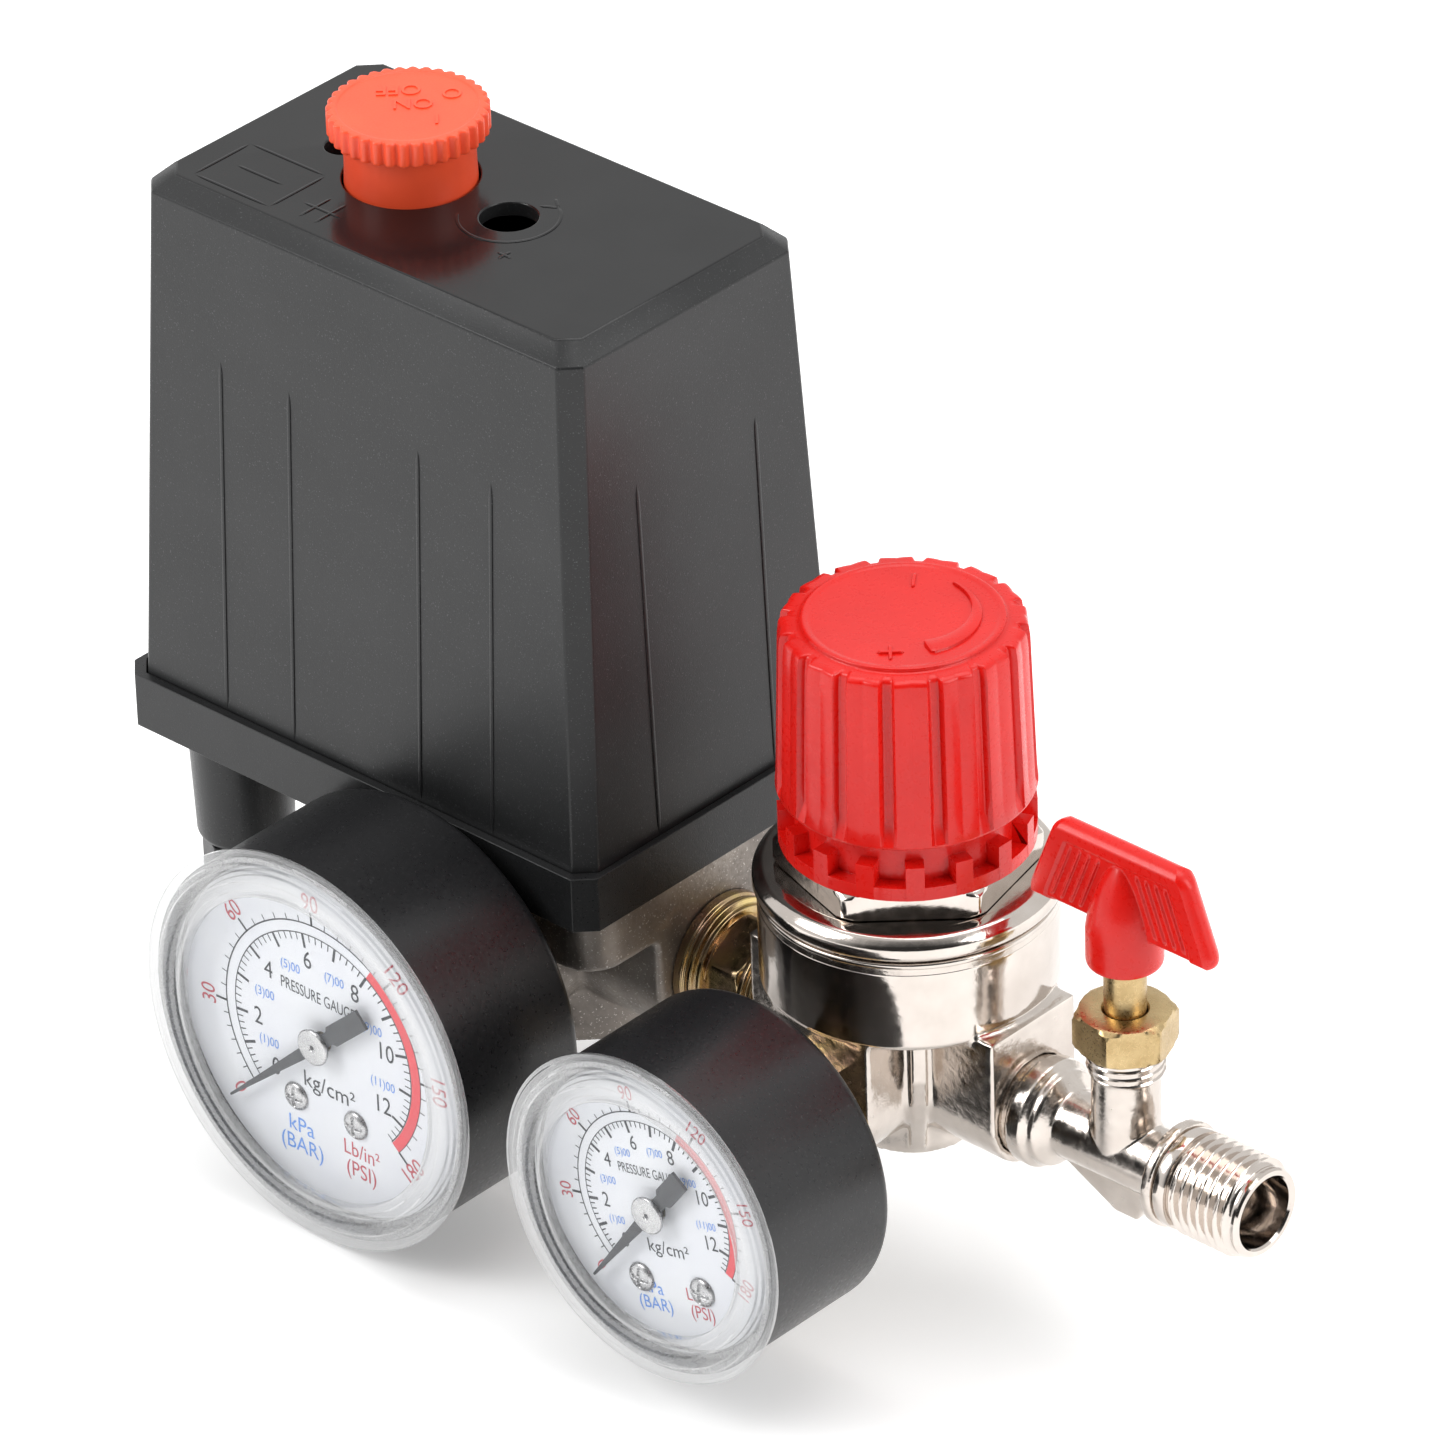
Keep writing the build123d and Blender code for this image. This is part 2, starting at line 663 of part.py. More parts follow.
diaphragm_plane = bowl_top - 1.2
with BuildPart() as reg_valve:
    with Locations((reg_x, 0, hub_z + 9.6)):
        Cylinder(valve_r + 1.6, 3.0, align=UP)
        Cylinder(valve_r, diaphragm_plane - hub_z - 9.6 - running, align=UP)
keep(reg_valve, "reg_valve")

with BuildPart() as reg_diaphragm:
    with Locations((reg_x, 0, diaphragm_plane)):
        Cylinder(chamber_r - running, 1.2, align=UP)
keep(reg_diaphragm, "reg_diaphragm")

hex_z = bowl_top + bead_height
neck_z = hex_z + bonnet_hex_height
neck_top = neck_z + neck_height
cavity_r = neck_r - 2.4
with BuildPart() as bonnet:
    with Locations((reg_x, 0, bowl_top)):
        Cylinder(bead_r, bead_height, align=UP)
    fillet(bonnet.edges().group_by(Axis.Z)[-1], 1.6)
    fillet(bonnet.edges().group_by(Axis.Z)[0], 0.7)
    with BuildSketch(Plane.XY.offset(hex_z)):
        with Locations((reg_x, 0)):
            RegularPolygon(bonnet_flats / 2, 6, major_radius=False, rotation=13)
    extrude(amount=bonnet_hex_height)
    with Locations((reg_x, 0, neck_z)):
        Cylinder(neck_r, neck_height, align=UP)
    with Locations((reg_x, 0, bowl_top)):
        Cylinder(cavity_r, neck_top - 3.0 - bowl_top, align=UP, mode=Mode.SUBTRACT)
    with Locations((reg_x, 0, neck_top - 3.0)):
        Cylinder(reg_screw_r + running, 3.0, align=UP, mode=Mode.SUBTRACT)
keep(bonnet, "bonnet")

plate_z = bowl_top + running
with BuildPart() as diaphragm_plate:
    with Locations((reg_x, 0, plate_z)):
        Cylinder(cavity_r - air, 1.6, align=UP)
keep(diaphragm_plate, "diaphragm_plate")

reg_spring_z = plate_z + 1.6
with BuildPart() as reg_spring:
    reg_wire = 1.8
    reg_pitch = (reg_spring_length - reg_wire - 2 * running) / 3
    with BuildLine(Plane.XY.offset(reg_spring_z + reg_wire / 2 + running)):
        reg_coil = Helix(reg_pitch, 3 * reg_pitch, reg_spring_r, center=(reg_x, 0, 0))
    with BuildSketch(Plane(origin=reg_coil @ 0, z_dir=reg_coil % 0)):
        Circle(reg_wire / 2)
    sweep(is_frenet=True)
keep(reg_spring, "reg_spring")

reg_seat_z = reg_spring_z + reg_spring_length
with BuildPart() as spring_seat:
    with Locations((reg_x, 0, reg_seat_z)):
        Cylinder(cavity_r - air, 2.5, align=UP)
        Cylinder(reg_screw_r + running, 2.5, align=UP, mode=Mode.SUBTRACT)
keep(spring_seat, "spring_seat")

# the adjusting screw is captive: its collar turns on the neck, and the spring seat climbs its thread
collar_z = neck_top + running
drive_z = collar_z + 1.5
drive_height = 8.5
with BuildPart() as reg_screw:
    with Locations((reg_x, 0, collar_z)):
        Cylinder(reg_collar_r, 1.5, align=UP)
        Cylinder(reg_screw_r, neck_top - reg_seat_z + 5.0, align=DOWN)
    with BuildSketch(Plane.XY.offset(drive_z)):
        with Locations((reg_x, 0)):
            RegularPolygon(drive_flats / 2, 6, major_radius=False)
    extrude(amount=drive_height)
keep(reg_screw, "reg_screw")

block_top = neck_z + ring_flange + 2.9
with BuildPart() as lock_ring:
    with Locations((reg_x, 0, neck_z)):
        Cylinder(ring_r, ring_flange, align=UP)
        Cylinder(ring_wall_r, ring_height, align=UP)
        with PolarLocations((ring_wall_r + ring_r) / 2 - 0.15, ring_blocks):
            Box(ring_r - ring_wall_r + 0.3, 2.3, block_top - neck_z, align=UP)
        Cylinder(neck_r, ring_height, align=UP, mode=Mode.SUBTRACT)
keep(lock_ring, "lock_ring")

skirt_z = block_top + skirt_gap
knob_top = skirt_z + reg_knob_height
hollow_r = ring_wall_r + air
with BuildPart() as regulator_knob:
    with Locations((reg_x, 0, skirt_z)):
        Cone(skirt_r, crown_r, reg_knob_height, align=UP)
    fillet(regulator_knob.edges().group_by(Axis.Z)[-1], 1.2)
    with Locations((reg_x, 0, knob_top - 0.4)):
        Cylinder(12.0, 0.7, align=UP)
    with Locations((reg_x, 0, skirt_z)):
        Cylinder(hollow_r, neck_top + lock_travel - skirt_z, align=UP, mode=Mode.SUBTRACT)
        Cylinder(crown_r - 2.4, reg_knob_height - knob_plate, align=UP, mode=Mode.SUBTRACT)
        with PolarLocations(skirt_r + 0.2, knob_grooves):
            Box(1.3, 1.3, reg_knob_height - 0.8, rotation=(0, -2.7, 0), align=UP, mode=Mode.SUBTRACT)
    with Locations((reg_x, 0, drive_z + lock_travel + air)):
        Cylinder(8.0, knob_top - 1.0 - drive_z - lock_travel - air, align=UP)
    with BuildSketch(Plane.XY.offset(drive_z)):
        with Locations((reg_x, 0)):
            RegularPolygon(drive_flats / 2 + 0.1, 6, major_radius=False)
    extrude(amount=knob_top - knob_plate - drive_z, mode=Mode.SUBTRACT)
keep(regulator_knob, "regulator_knob")

# hexagon-socket plugs shut the valve's bore and the rear port
reg_plug_length = 5.0
with BuildPart() as reg_plugs:
    for plane, centre in (
        (Plane.XZ.offset(-reg_side_reach), (reg_x, port_z)),
        (Plane.XY.offset(hub_z), (reg_x, 0)),
    ):
        with BuildSketch(plane):
            with Locations(centre):
                Circle(g18 - thread_fit)
        extrude(amount=reg_plug_length)
        with BuildSketch(plane):
            with Locations(centre):
                RegularPolygon(2.9, 6)
        extrude(amount=reg_plug_length - 2.0, mode=Mode.SUBTRACT)
keep(reg_plugs, "reg_plugs")

# ======================= outlet tap =======================

tap_start = reg_x + reg_reach
with BuildPart() as tap_body:
    with BuildSketch(Plane.XZ):
        with BuildLine():
            Polyline(
                (tap_start - 9.0, port_z),
                (tap_start - 9.0, port_z + g14 - thread_fit),
                (tap_start + 1.2, port_z + g14 - thread_fit),
                (tap_start + 1.2, port_z + tap_collar_r),
                (tap_start + 3.4, port_z + tap_collar_r),
                (tap_start + 4.0, port_z + tap_collar_r - 0.8),
                (tap_start + 5.0, port_z + tap_collar_r - 0.8),
                (tap_start + 6.2, port_z + pipe_r),
                (outlet_start, port_z + pipe_r),
                (outlet_start, port_z + outlet_ring_r),
                (outlet_start + 1.5, port_z + outlet_ring_r),
                (outlet_start + 1.5, port_z + g14),
                (outlet_end, port_z + g14),
                (outlet_end, port_z),
                close=True,
            )
        make_face()
    revolve(axis=Axis((0, 0, port_z), (1, 0, 0)))
    with Locations((tap_x, 0, port_z)):
        Cylinder(boss_r, nut_z - 3.5 - port_z, align=UP)
    with Locations((tap_x, 0, nut_z - 3.5)):
        Cylinder(boss_thread_r, boss_top - nut_z + 3.5, align=UP)
    # the spanner fin under the pipe
    with BuildSketch(Plane.XZ):
        with BuildLine():
            Polyline(
                (tap_start + 5.0, port_z),
                (tap_start + 5.0, port_z - pipe_r),
                (tap_x - 1.0, port_z - 9.0),
                (tap_x + 2.6, port_z - 9.0),
                (tap_x + 5.2, port_z - pipe_r),
                (tap_x + 5.2, port_z),
                close=True,
            )
        make_face()
    extrude(amount=fin_thick / 2, both=True)
    with BuildSketch(Plane.YZ.offset(tap_start - 9.0)):
        with Locations((0, port_z)):
            Circle(gallery_r)
    extrude(amount=outlet_end - tap_start + 9.0, mode=Mode.SUBTRACT)
    with BuildSketch(Plane.YZ.offset(outlet_end)):
        with Locations((0, port_z)):
            Circle(outlet_bore_r)
    extrude(amount=-11.0, mode=Mode.SUBTRACT)
    with Locations((tap_x, 0, port_z)):
        Cylinder(stem_r + running, boss_top - port_z, align=UP, mode=Mode.SUBTRACT)
    with Locations((tap_x, 0, nut_z)):
        Cylinder(3.7, boss_top - nut_z, align=UP, mode=Mode.SUBTRACT)
keep(tap_body, "tap_body")

with BuildPart() as packing_nut:
    with BuildSketch(Plane.XY.offset(nut_z)):
        with Locations((tap_x, 0)):
            RegularPolygon(nut_flats / 2, 6, major_radius=False, rotation=20)
    extrude(amount=nut_height)
    with Locations((tap_x, 0, nut_z)):
        Cylinder(boss_thread_r + thread_fit, boss_top - nut_z, align=UP, mode=Mode.SUBTRACT)
        Cylinder(stem_r + 2 * running, nut_height, align=UP, mode=Mode.SUBTRACT)
keep(packing_nut, "packing_nut")

with BuildPart() as stem_packing:
    with Locations((tap_x, 0, nut_z)):
        Cylinder(3.7 - running, boss_top - nut_z, align=UP)
        Cylinder(stem_r + 2 * running, boss_top - nut_z, align=UP, mode=Mode.SUBTRACT)
keep(stem_packing, "stem_packing")

stem_z = port_z + gallery_r + 0.5
seal_z = stem_z + 4.0
with BuildPart() as tap_stem:
    with Locations((tap_x, 0, stem_z)):
        Cone(1.2, stem_r, 2.0, align=UP)
    with Locations((tap_x, 0, stem_z + 2.0)):
        Cylinder(stem_r, wing_z + 4.0 - stem_z - 2.0, align=UP)
    with Locations((tap_x, 0, seal_z)):
        Cylinder(stem_r, 1.6, align=UP, mode=Mode.SUBTRACT)
        Cylinder(1.8, 1.6, align=UP)
keep(tap_stem, "tap_stem")

# the seal climbs and falls with the stem, but need not turn with it
with BuildPart() as stem_seal:
    with Locations((tap_x, 0, seal_z + 0.05)):
        Cylinder(stem_r, 1.5, align=UP)
        Cylinder(1.8 + running, 1.5, align=UP, mode=Mode.SUBTRACT)
keep(stem_seal, "stem_seal")

with BuildPart() as tap_handle:
    with BuildSketch(Plane.XZ) as wing:
        with BuildLine():
            Polyline(
                (tap_x - wing_foot / 2, wing_z),
                (tap_x + wing_foot / 2, wing_z),
                (tap_x + wing_top / 2, wing_z + wing_height),
                (tap_x - wing_top / 2, wing_z + wing_height),
                close=True,
            )
        make_face()
        fillet(wing.vertices(), 1.2)
    extrude(amount=wing_thick / 2, both=True)
    with Locations((tap_x, 0, handle_z)):
        Cylinder(handle_hub_r, wing_z - handle_z + 2.5, align=UP)
    with Locations((tap_x, 0, wing_z + 2.5)):
        Cone(handle_hub_r, 1.5, 7.0, align=UP)
    with Locations((tap_x, 0, handle_z)):
        Cylinder(stem_r + thread_fit, wing_z + 4.0 - handle_z, align=UP, mode=Mode.SUBTRACT)
keep(tap_handle, "tap_handle")

# ======================= pressure gauges =======================

lens_flange = 1.4  # clear cap's flange, in front of the case's mouth
lens_rim = 6.3  # width of the cap's thick rim
lip = 0.5  # rim of the cap proud of its window
window_thick = 1.0
mouth_wall = 0.8  # case's wall round the cap's spigot
spigot_wall = 1.2
case_wall = 2.0
dial_u = 3.9  # depths are measured back from the cap's front edge
dial_thick = 0.8
dial_screw_x = 5.15
dial_screw_y = 10.3
dial_screw_head = 2.0
pointer_u = 2.35
pointer_thick = 0.4
pointer_hub_u = 1.9
arbor_u = 3.5
plate_thick = 0.8
front_plate_u = 6.2
back_plate_u = 11.6
gear_u = 8.4
gear_thick = 1.2
module_ = 0.4
pinion_teeth = 10
pointer_sweep = 270.0


def toothed_arc(radius, teeth, first, count):
    """Outline of a run of teeth: tooth k sits at first + k pitches. Slim teeth leave backlash."""
    pitch_angle = 2 * pi / teeth
    points = []
    for k in range(count):
        middle = radians(first) + k * pitch_angle
        for share, height in ((-0.30, -1.1), (-0.09, 0.7), (0.09, 0.7), (0.30, -1.1)):
            r = radius + height * module_
            a = middle + share * pitch_angle
            points.append((r * cos(a), r * sin(a)))
    return points


def gauge(
    prefix, x, front_y, depth, lens_r, case_r, gear_ratio, turn, zero, neck_depth, thread_r, thread_length
):
    """One gauge, looking along -Y. In its own plane x runs right, y down and z back into the case.

    turn is how far the dial is tilted, and zero is where the pointer rests, from x towards y.
    """
    face = Plane(origin=(x, front_y, port_z), x_dir=(1, 0, 0), z_dir=(0, 1, 0))
    mouth_r = case_r - mouth_wall
    inner_r = case_r - case_wall
    screws = [
        Vector(dial_screw_x * side, dial_screw_y).rotate(Axis.Z, -turn) for side in (1, -1)
    ]

    with BuildPart(face) as case:
        with Locations((0, 0, lens_flange)):
            Cylinder(case_r, depth - lens_flange, align=UP)
        fillet(case.edges().filter_by(GeomType.CIRCLE).sort_by(Axis.Y)[-1], 1.2)
        with Locations((0, 0, lens_flange)):
            Cylinder(mouth_r, dial_u - lens_flange, align=UP, mode=Mode.SUBTRACT)
            Cylinder(inner_r, depth - 1.5 - lens_flange, align=UP, mode=Mode.SUBTRACT)
        with Locations((0, 0, depth - 1.5)):
            Cylinder(6.0 + running, 1.5, align=UP, mode=Mode.SUBTRACT)
    keep(case, f"{prefix}_case")

    with BuildPart(face) as lens:
        Cylinder(lens_r, lens_flange, align=UP)
        Cylinder(mouth_r - running, dial_u, align=UP)
        Cylinder(lens_r - lens_rim, lip, align=UP, mode=Mode.SUBTRACT)
        with Locations((0, 0, lip + window_thick)):
            Cylinder(mouth_r - spigot_wall, dial_u - lip - window_thick, align=UP, mode=Mode.SUBTRACT)
    keep(lens, f"{prefix}_lens")

    with BuildPart(face) as dial:
        with Locations((0, 0, dial_u)):
            Cylinder(inner_r - running, dial_thick, align=UP)
            Cylinder(1.4, dial_thick, align=UP, mode=Mode.SUBTRACT)
        with Locations([(s.X, s.Y, dial_u) for s in screws]):
            Cylinder(0.9, dial_thick, align=UP, mode=Mode.SUBTRACT)
    keep(dial, f"{prefix}_dial")

    with BuildPart(face) as screw_pair:
        with Locations([(s.X, s.Y, dial_u - 0.8) for s in screws]):
            Cylinder(dial_screw_head, 0.8, align=UP)
            Cylinder(0.8, 2.6, align=UP)
            Box(2.4, 0.4, 0.4, align=UP, mode=Mode.SUBTRACT)
            Box(0.4, 2.4, 0.4, align=UP, mode=Mode.SUBTRACT)

    # the pointer rests at zero, low on the left, and its tail is broader than its blade
    blade = 0.85 * inner_r
    tail = 0.46 * inner_r
    with BuildPart(face) as pointer:
        with BuildSketch(face.offset(pointer_u)):
            with Locations(Location((0, 0, 0), (0, 0, zero))):
                Circle(2.0)
                Polygon(
                    (-tail, 1.4), (-tail, -1.4), (-4.2, -1.4), (-3.6, -0.9), (0, -0.9), (blade, -0.15),
                    (blade, 0.15), (0, 0.9), (-3.6, 0.9), (-4.2, 1.4), align=None,
                )
        extrude(amount=pointer_thick)
        with Locations((0, 0, pointer_hub_u)):
            Cylinder(2.4, pointer_u - pointer_hub_u, align=UP)
        with Locations((0, 0, pointer_u + pointer_thick)):
            Cylinder(1.3, arbor_u - pointer_u - pointer_thick, align=UP)
    keep(pointer, f"{prefix}_pointer")

    arbor_r = 0.7
    sector_teeth = pinion_teeth * gear_ratio
    pinion_r = module_ * pinion_teeth / 2
    sector_r = module_ * sector_teeth / 2
    pivot_y = pinion_r + sector_r
    with BuildPart(face) as pointer_arbor:
        with Locations((0, 0, arbor_u)):
            Cylinder(arbor_r, back_plate_u + plate_thick - arbor_u, align=UP)
        with BuildSketch(face.offset(gear_u)):
            Polygon(*toothed_arc(pinion_r, pinion_teeth, 90.0, pinion_teeth), align=None)
        extrude(amount=gear_thick)
    keep(pointer_arbor, f"{prefix}_pointer_arbor")

    # the sector's teeth reach from the pinion at zero to the pinion at full scale
    swing = pointer_sweep / gear_ratio
    pitch_deg = 360.0 / sector_teeth
    teeth = int(swing / pitch_deg) + 5
    with BuildPart(face) as sector:
        with BuildSketch(face.offset(gear_u)):
            with Locations((0, pivot_y)):
                rim = toothed_arc(sector_r, sector_teeth, -90 - 1.5 * pitch_deg, teeth)
                Polygon((0, 1.5), (-1.5, 0), *rim, (1.5, 0), align=None)
                Circle(2.0)
        extrude(amount=gear_thick)
        with Locations((0, pivot_y, front_plate_u)):
            Cylinder(1.0, back_plate_u + plate_thick - front_plate_u, align=UP)
    keep(sector, f"{prefix}_sector_gear")

    # two plates on pillars hold both arbors
    plate_foot = pivot_y + 3.0
    with BuildPart(face) as movement:
        for depth_u in (front_plate_u, back_plate_u):
            with BuildSketch(face.offset(depth_u)):
                with Locations((0, (plate_foot - 4.5) / 2)):
                    Rectangle(14.0, plate_foot + 4.5)
                with Locations((0, 0)):
                    Circle(arbor_r + running, mode=Mode.SUBTRACT)
                with Locations((0, pivot_y)):
                    Circle(1.0 + running, mode=Mode.SUBTRACT)
            extrude(amount=plate_thick)
        with Locations((5.5, -3.2, front_plate_u), (-5.5, -3.2, front_plate_u),
                       (5.5, plate_foot - 1.3, front_plate_u), (-5.5, plate_foot - 1.3, front_plate_u)):
            Cylinder(1.0, back_plate_u - front_plate_u, align=UP)
        with Locations([(s.X, s.Y, dial_u + dial_thick) for s in screws]):
            Cylinder(1.5, front_plate_u + plate_thick - dial_u - dial_thick, align=UP)
            Cylinder(0.8 + thread_fit, front_plate_u + plate_thick, align=UP, mode=Mode.SUBTRACT)
    keep(movement, f"{prefix}_movement")

    block_u = back_plate_u + plate_thick
    with BuildPart(face) as socket:
        with Locations((0, 0, block_u)):
            Box(9.0, 8.0, depth - 1.5 - block_u, align=UP)
            Cylinder(6.0, depth - block_u, align=UP, mode=Mode.ADD)
        with BuildSketch(face.offset(depth)):
            RegularPolygon(7.0, 6, major_radius=False)
        extrude(amount=neck_depth)
        with Locations((0, 0, depth + neck_depth)):
            Cylinder(thread_r - thread_fit, thread_length, align=UP)
        with Locations((0, 0, depth)):
            Cylinder(1.5, neck_depth + thread_length, align=UP, mode=Mode.SUBTRACT)
    keep(socket, f"{prefix}_socket")

    # the bourdon tube: a flat oval tube bent to a C round the socket
    tube_r = inner_r - 3.0
    with BuildPart() as tube:
        axis = Axis((x, front_y, port_z), (0, 1, 0))
        start = Plane(origin=(x, front_y + block_u + 4.0, port_z), x_dir=(1, 0, 0), z_dir=(0, 0, 1))
        with BuildSketch(start):
            with Locations((tube_r, 0)):
                Ellipse(1.0, 2.2)
        revolve(axis=axis, revolution_arc=250)
        with BuildSketch(Plane.YZ.offset(x + 5.9)):
            with Locations((front_y + block_u + 4.0, port_z)):
                Rectangle(3.0, 1.6)
        extrude(amount=tube_r - 5.9)
    keep(tube, f"{prefix}_bourdon_tube")
    return screw_pair.part


tank_dial_screws = gauge(
    "tank_gauge", 0.0, -50.2, 22.7, lens_r=27.5, case_r=26.4, gear_ratio=8, turn=0.0, zero=138.5,
    neck_depth=50.2 - 22.7 - arm_reach, thread_r=g14, thread_length=8.0,
)
outlet_dial_screws = gauge(
    "outlet_gauge", reg_x, -50.6, 23.0, lens_r=22.2, case_r=21.1, gear_ratio=6, turn=12.0, zero=126.5,
    neck_depth=50.6 - 23.0 - reg_side_reach, thread_r=g18, thread_length=6.0,
)

# the four screws that hold the two dials are alike
with BuildPart() as dial_screws:
    add(tank_dial_screws)
    add(outlet_dial_screws)
keep(dial_screws, "dial_screws")
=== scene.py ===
"""Compressor pressure switch with its manifold, regulator, outlet tap and two gauges.

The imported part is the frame. Each section below finishes or remakes one piece, in the order the
unit is put together. Lengths are written in millimetres and turned to metres by MM.
"""

import math

import bmesh
import bpy
import numpy as np
from mathutils import Matrix, Quaternion, Vector


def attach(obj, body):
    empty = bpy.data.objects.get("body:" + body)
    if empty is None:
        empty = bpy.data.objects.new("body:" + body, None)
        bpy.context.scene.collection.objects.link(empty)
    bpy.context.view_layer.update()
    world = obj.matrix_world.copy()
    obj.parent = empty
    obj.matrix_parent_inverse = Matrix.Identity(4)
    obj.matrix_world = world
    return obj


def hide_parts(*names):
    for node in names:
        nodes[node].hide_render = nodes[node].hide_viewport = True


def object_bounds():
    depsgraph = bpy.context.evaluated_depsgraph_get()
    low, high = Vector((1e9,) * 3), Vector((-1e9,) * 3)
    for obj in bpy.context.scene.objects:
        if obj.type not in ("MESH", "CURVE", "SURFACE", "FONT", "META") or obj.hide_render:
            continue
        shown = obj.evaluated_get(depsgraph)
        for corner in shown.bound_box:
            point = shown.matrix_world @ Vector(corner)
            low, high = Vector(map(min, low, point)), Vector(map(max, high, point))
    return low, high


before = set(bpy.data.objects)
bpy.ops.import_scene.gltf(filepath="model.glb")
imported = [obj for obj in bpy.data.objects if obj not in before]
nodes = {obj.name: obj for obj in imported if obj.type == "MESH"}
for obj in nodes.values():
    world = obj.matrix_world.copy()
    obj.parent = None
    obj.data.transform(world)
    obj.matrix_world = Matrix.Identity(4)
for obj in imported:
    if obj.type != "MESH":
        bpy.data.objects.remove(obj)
cad_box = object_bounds()
scene = bpy.context.scene
MM = 0.001

# ======================= floor, light and camera =======================
# A pale floor under big soft boxes, with a darker stretch of studio behind the camera, so that
# plated metal has something dark to reflect. The camera looks down on the right-hand corner.

floor_z = cad_box[0].z - 0.0004
eye = Vector((0.8404, -0.8629, 0.7871))
aim = Vector((0.02259, 0.00387, 0.04667))
camera_roll = math.radians(-1.845)
focal_length = 281.3

camera_data = bpy.data.cameras.new("studio_camera")
camera_data.lens = focal_length
camera_data.sensor_width = 36.0
camera_data.clip_start = 0.05
camera_data.clip_end = 50.0
camera = bpy.data.objects.new("studio_camera", camera_data)
scene.collection.objects.link(camera)
camera.location = eye
camera.rotation_mode = "QUATERNION"
camera.rotation_quaternion = (aim - eye).to_track_quat("-Z", "Y") @ Quaternion((0, 0, 1), camera_roll)
scene.camera = camera
scene.view_settings.view_transform = "Standard"

floor_paint = bpy.data.materials.new("floor_paint")
floor_paint.use_nodes = True
floor_paint.node_tree.nodes["Principled BSDF"].inputs["Base Color"].default_value = (0.93, 0.93, 0.93, 1)
floor_paint.node_tree.nodes["Principled BSDF"].inputs["Roughness"].default_value = 0.9
floor_paint.node_tree.nodes["Principled BSDF"].inputs["Emission Color"].default_value = (1, 1, 1, 1)
floor_paint.node_tree.nodes["Principled BSDF"].inputs["Emission Strength"].default_value = 0.3
floor_half = 4.0
floor_mesh = bpy.data.meshes.new("studio_floor")
floor_mesh.from_pydata(
    [(x * floor_half, y * floor_half, floor_z) for x, y in ((-1, -1), (1, -1), (1, 1), (-1, 1))],
    [],
    [(0, 1, 2, 3)],
)
floor_mesh.materials.append(floor_paint)
floor = bpy.data.objects.new("studio_floor", floor_mesh)
scene.collection.objects.link(floor)


def soft_box(name, place, towards, width, height, watts):
    """A rectangular area light at one place, turned to face another."""
    data = bpy.data.lights.new(name, "AREA")
    data.shape = "RECTANGLE"
    data.size = width
    data.size_y = height
    data.energy = watts
    lamp = bpy.data.objects.new(name, data)
    scene.collection.objects.link(lamp)
    lamp.location = place
    lamp.rotation_mode = "QUATERNION"
    lamp.rotation_quaternion = (Vector(towards) - Vector(place)).to_track_quat("-Z", "Y")
    return lamp


middle = (0.02, 0.0, 0.05)
soft_box("key_box", (-0.75, -1.15, 1.25), middle, 0.9, 0.9, 15.0)
soft_box("side_box", (1.35, 0.25, 0.75), middle, 0.7, 1.0, 8.0)
soft_box("top_box", (0.0, 0.35, 1.6), middle, 1.4, 1.0, 9.5)

world = bpy.data.worlds.new("studio")
world.use_nodes = True
scene.world = world
links = world.node_tree.links
direction = world.node_tree.nodes.new("ShaderNodeTexCoord")
towards_camera = world.node_tree.nodes.new("ShaderNodeVectorMath")
towards_camera.operation = "DOT_PRODUCT"
towards_camera.inputs[1].default_value = (0.66, -0.70, 0.27)
shading = world.node_tree.nodes.new("ShaderNodeMapRange")
shading.interpolation_type = "SMOOTHERSTEP"
shading.inputs["From Min"].default_value = 0.40
shading.inputs["From Max"].default_value = 0.93
shading.inputs["To Min"].default_value = 0.88
shading.inputs["To Max"].default_value = 0.04
links.new(direction.outputs["Generated"], towards_camera.inputs[0])
links.new(towards_camera.outputs["Value"], shading.inputs["Value"])
links.new(shading.outputs["Result"], world.node_tree.nodes["Background"].inputs["Strength"])
world.node_tree.nodes["Background"].inputs["Color"].default_value = (1, 1, 1, 1)

# ======================= manifold =======================
# The body everything screws to: a raw die casting with four ports, dull grey with soft edges.
# Its skin is slightly pebbled from the mould, and the grey varies from place to place.


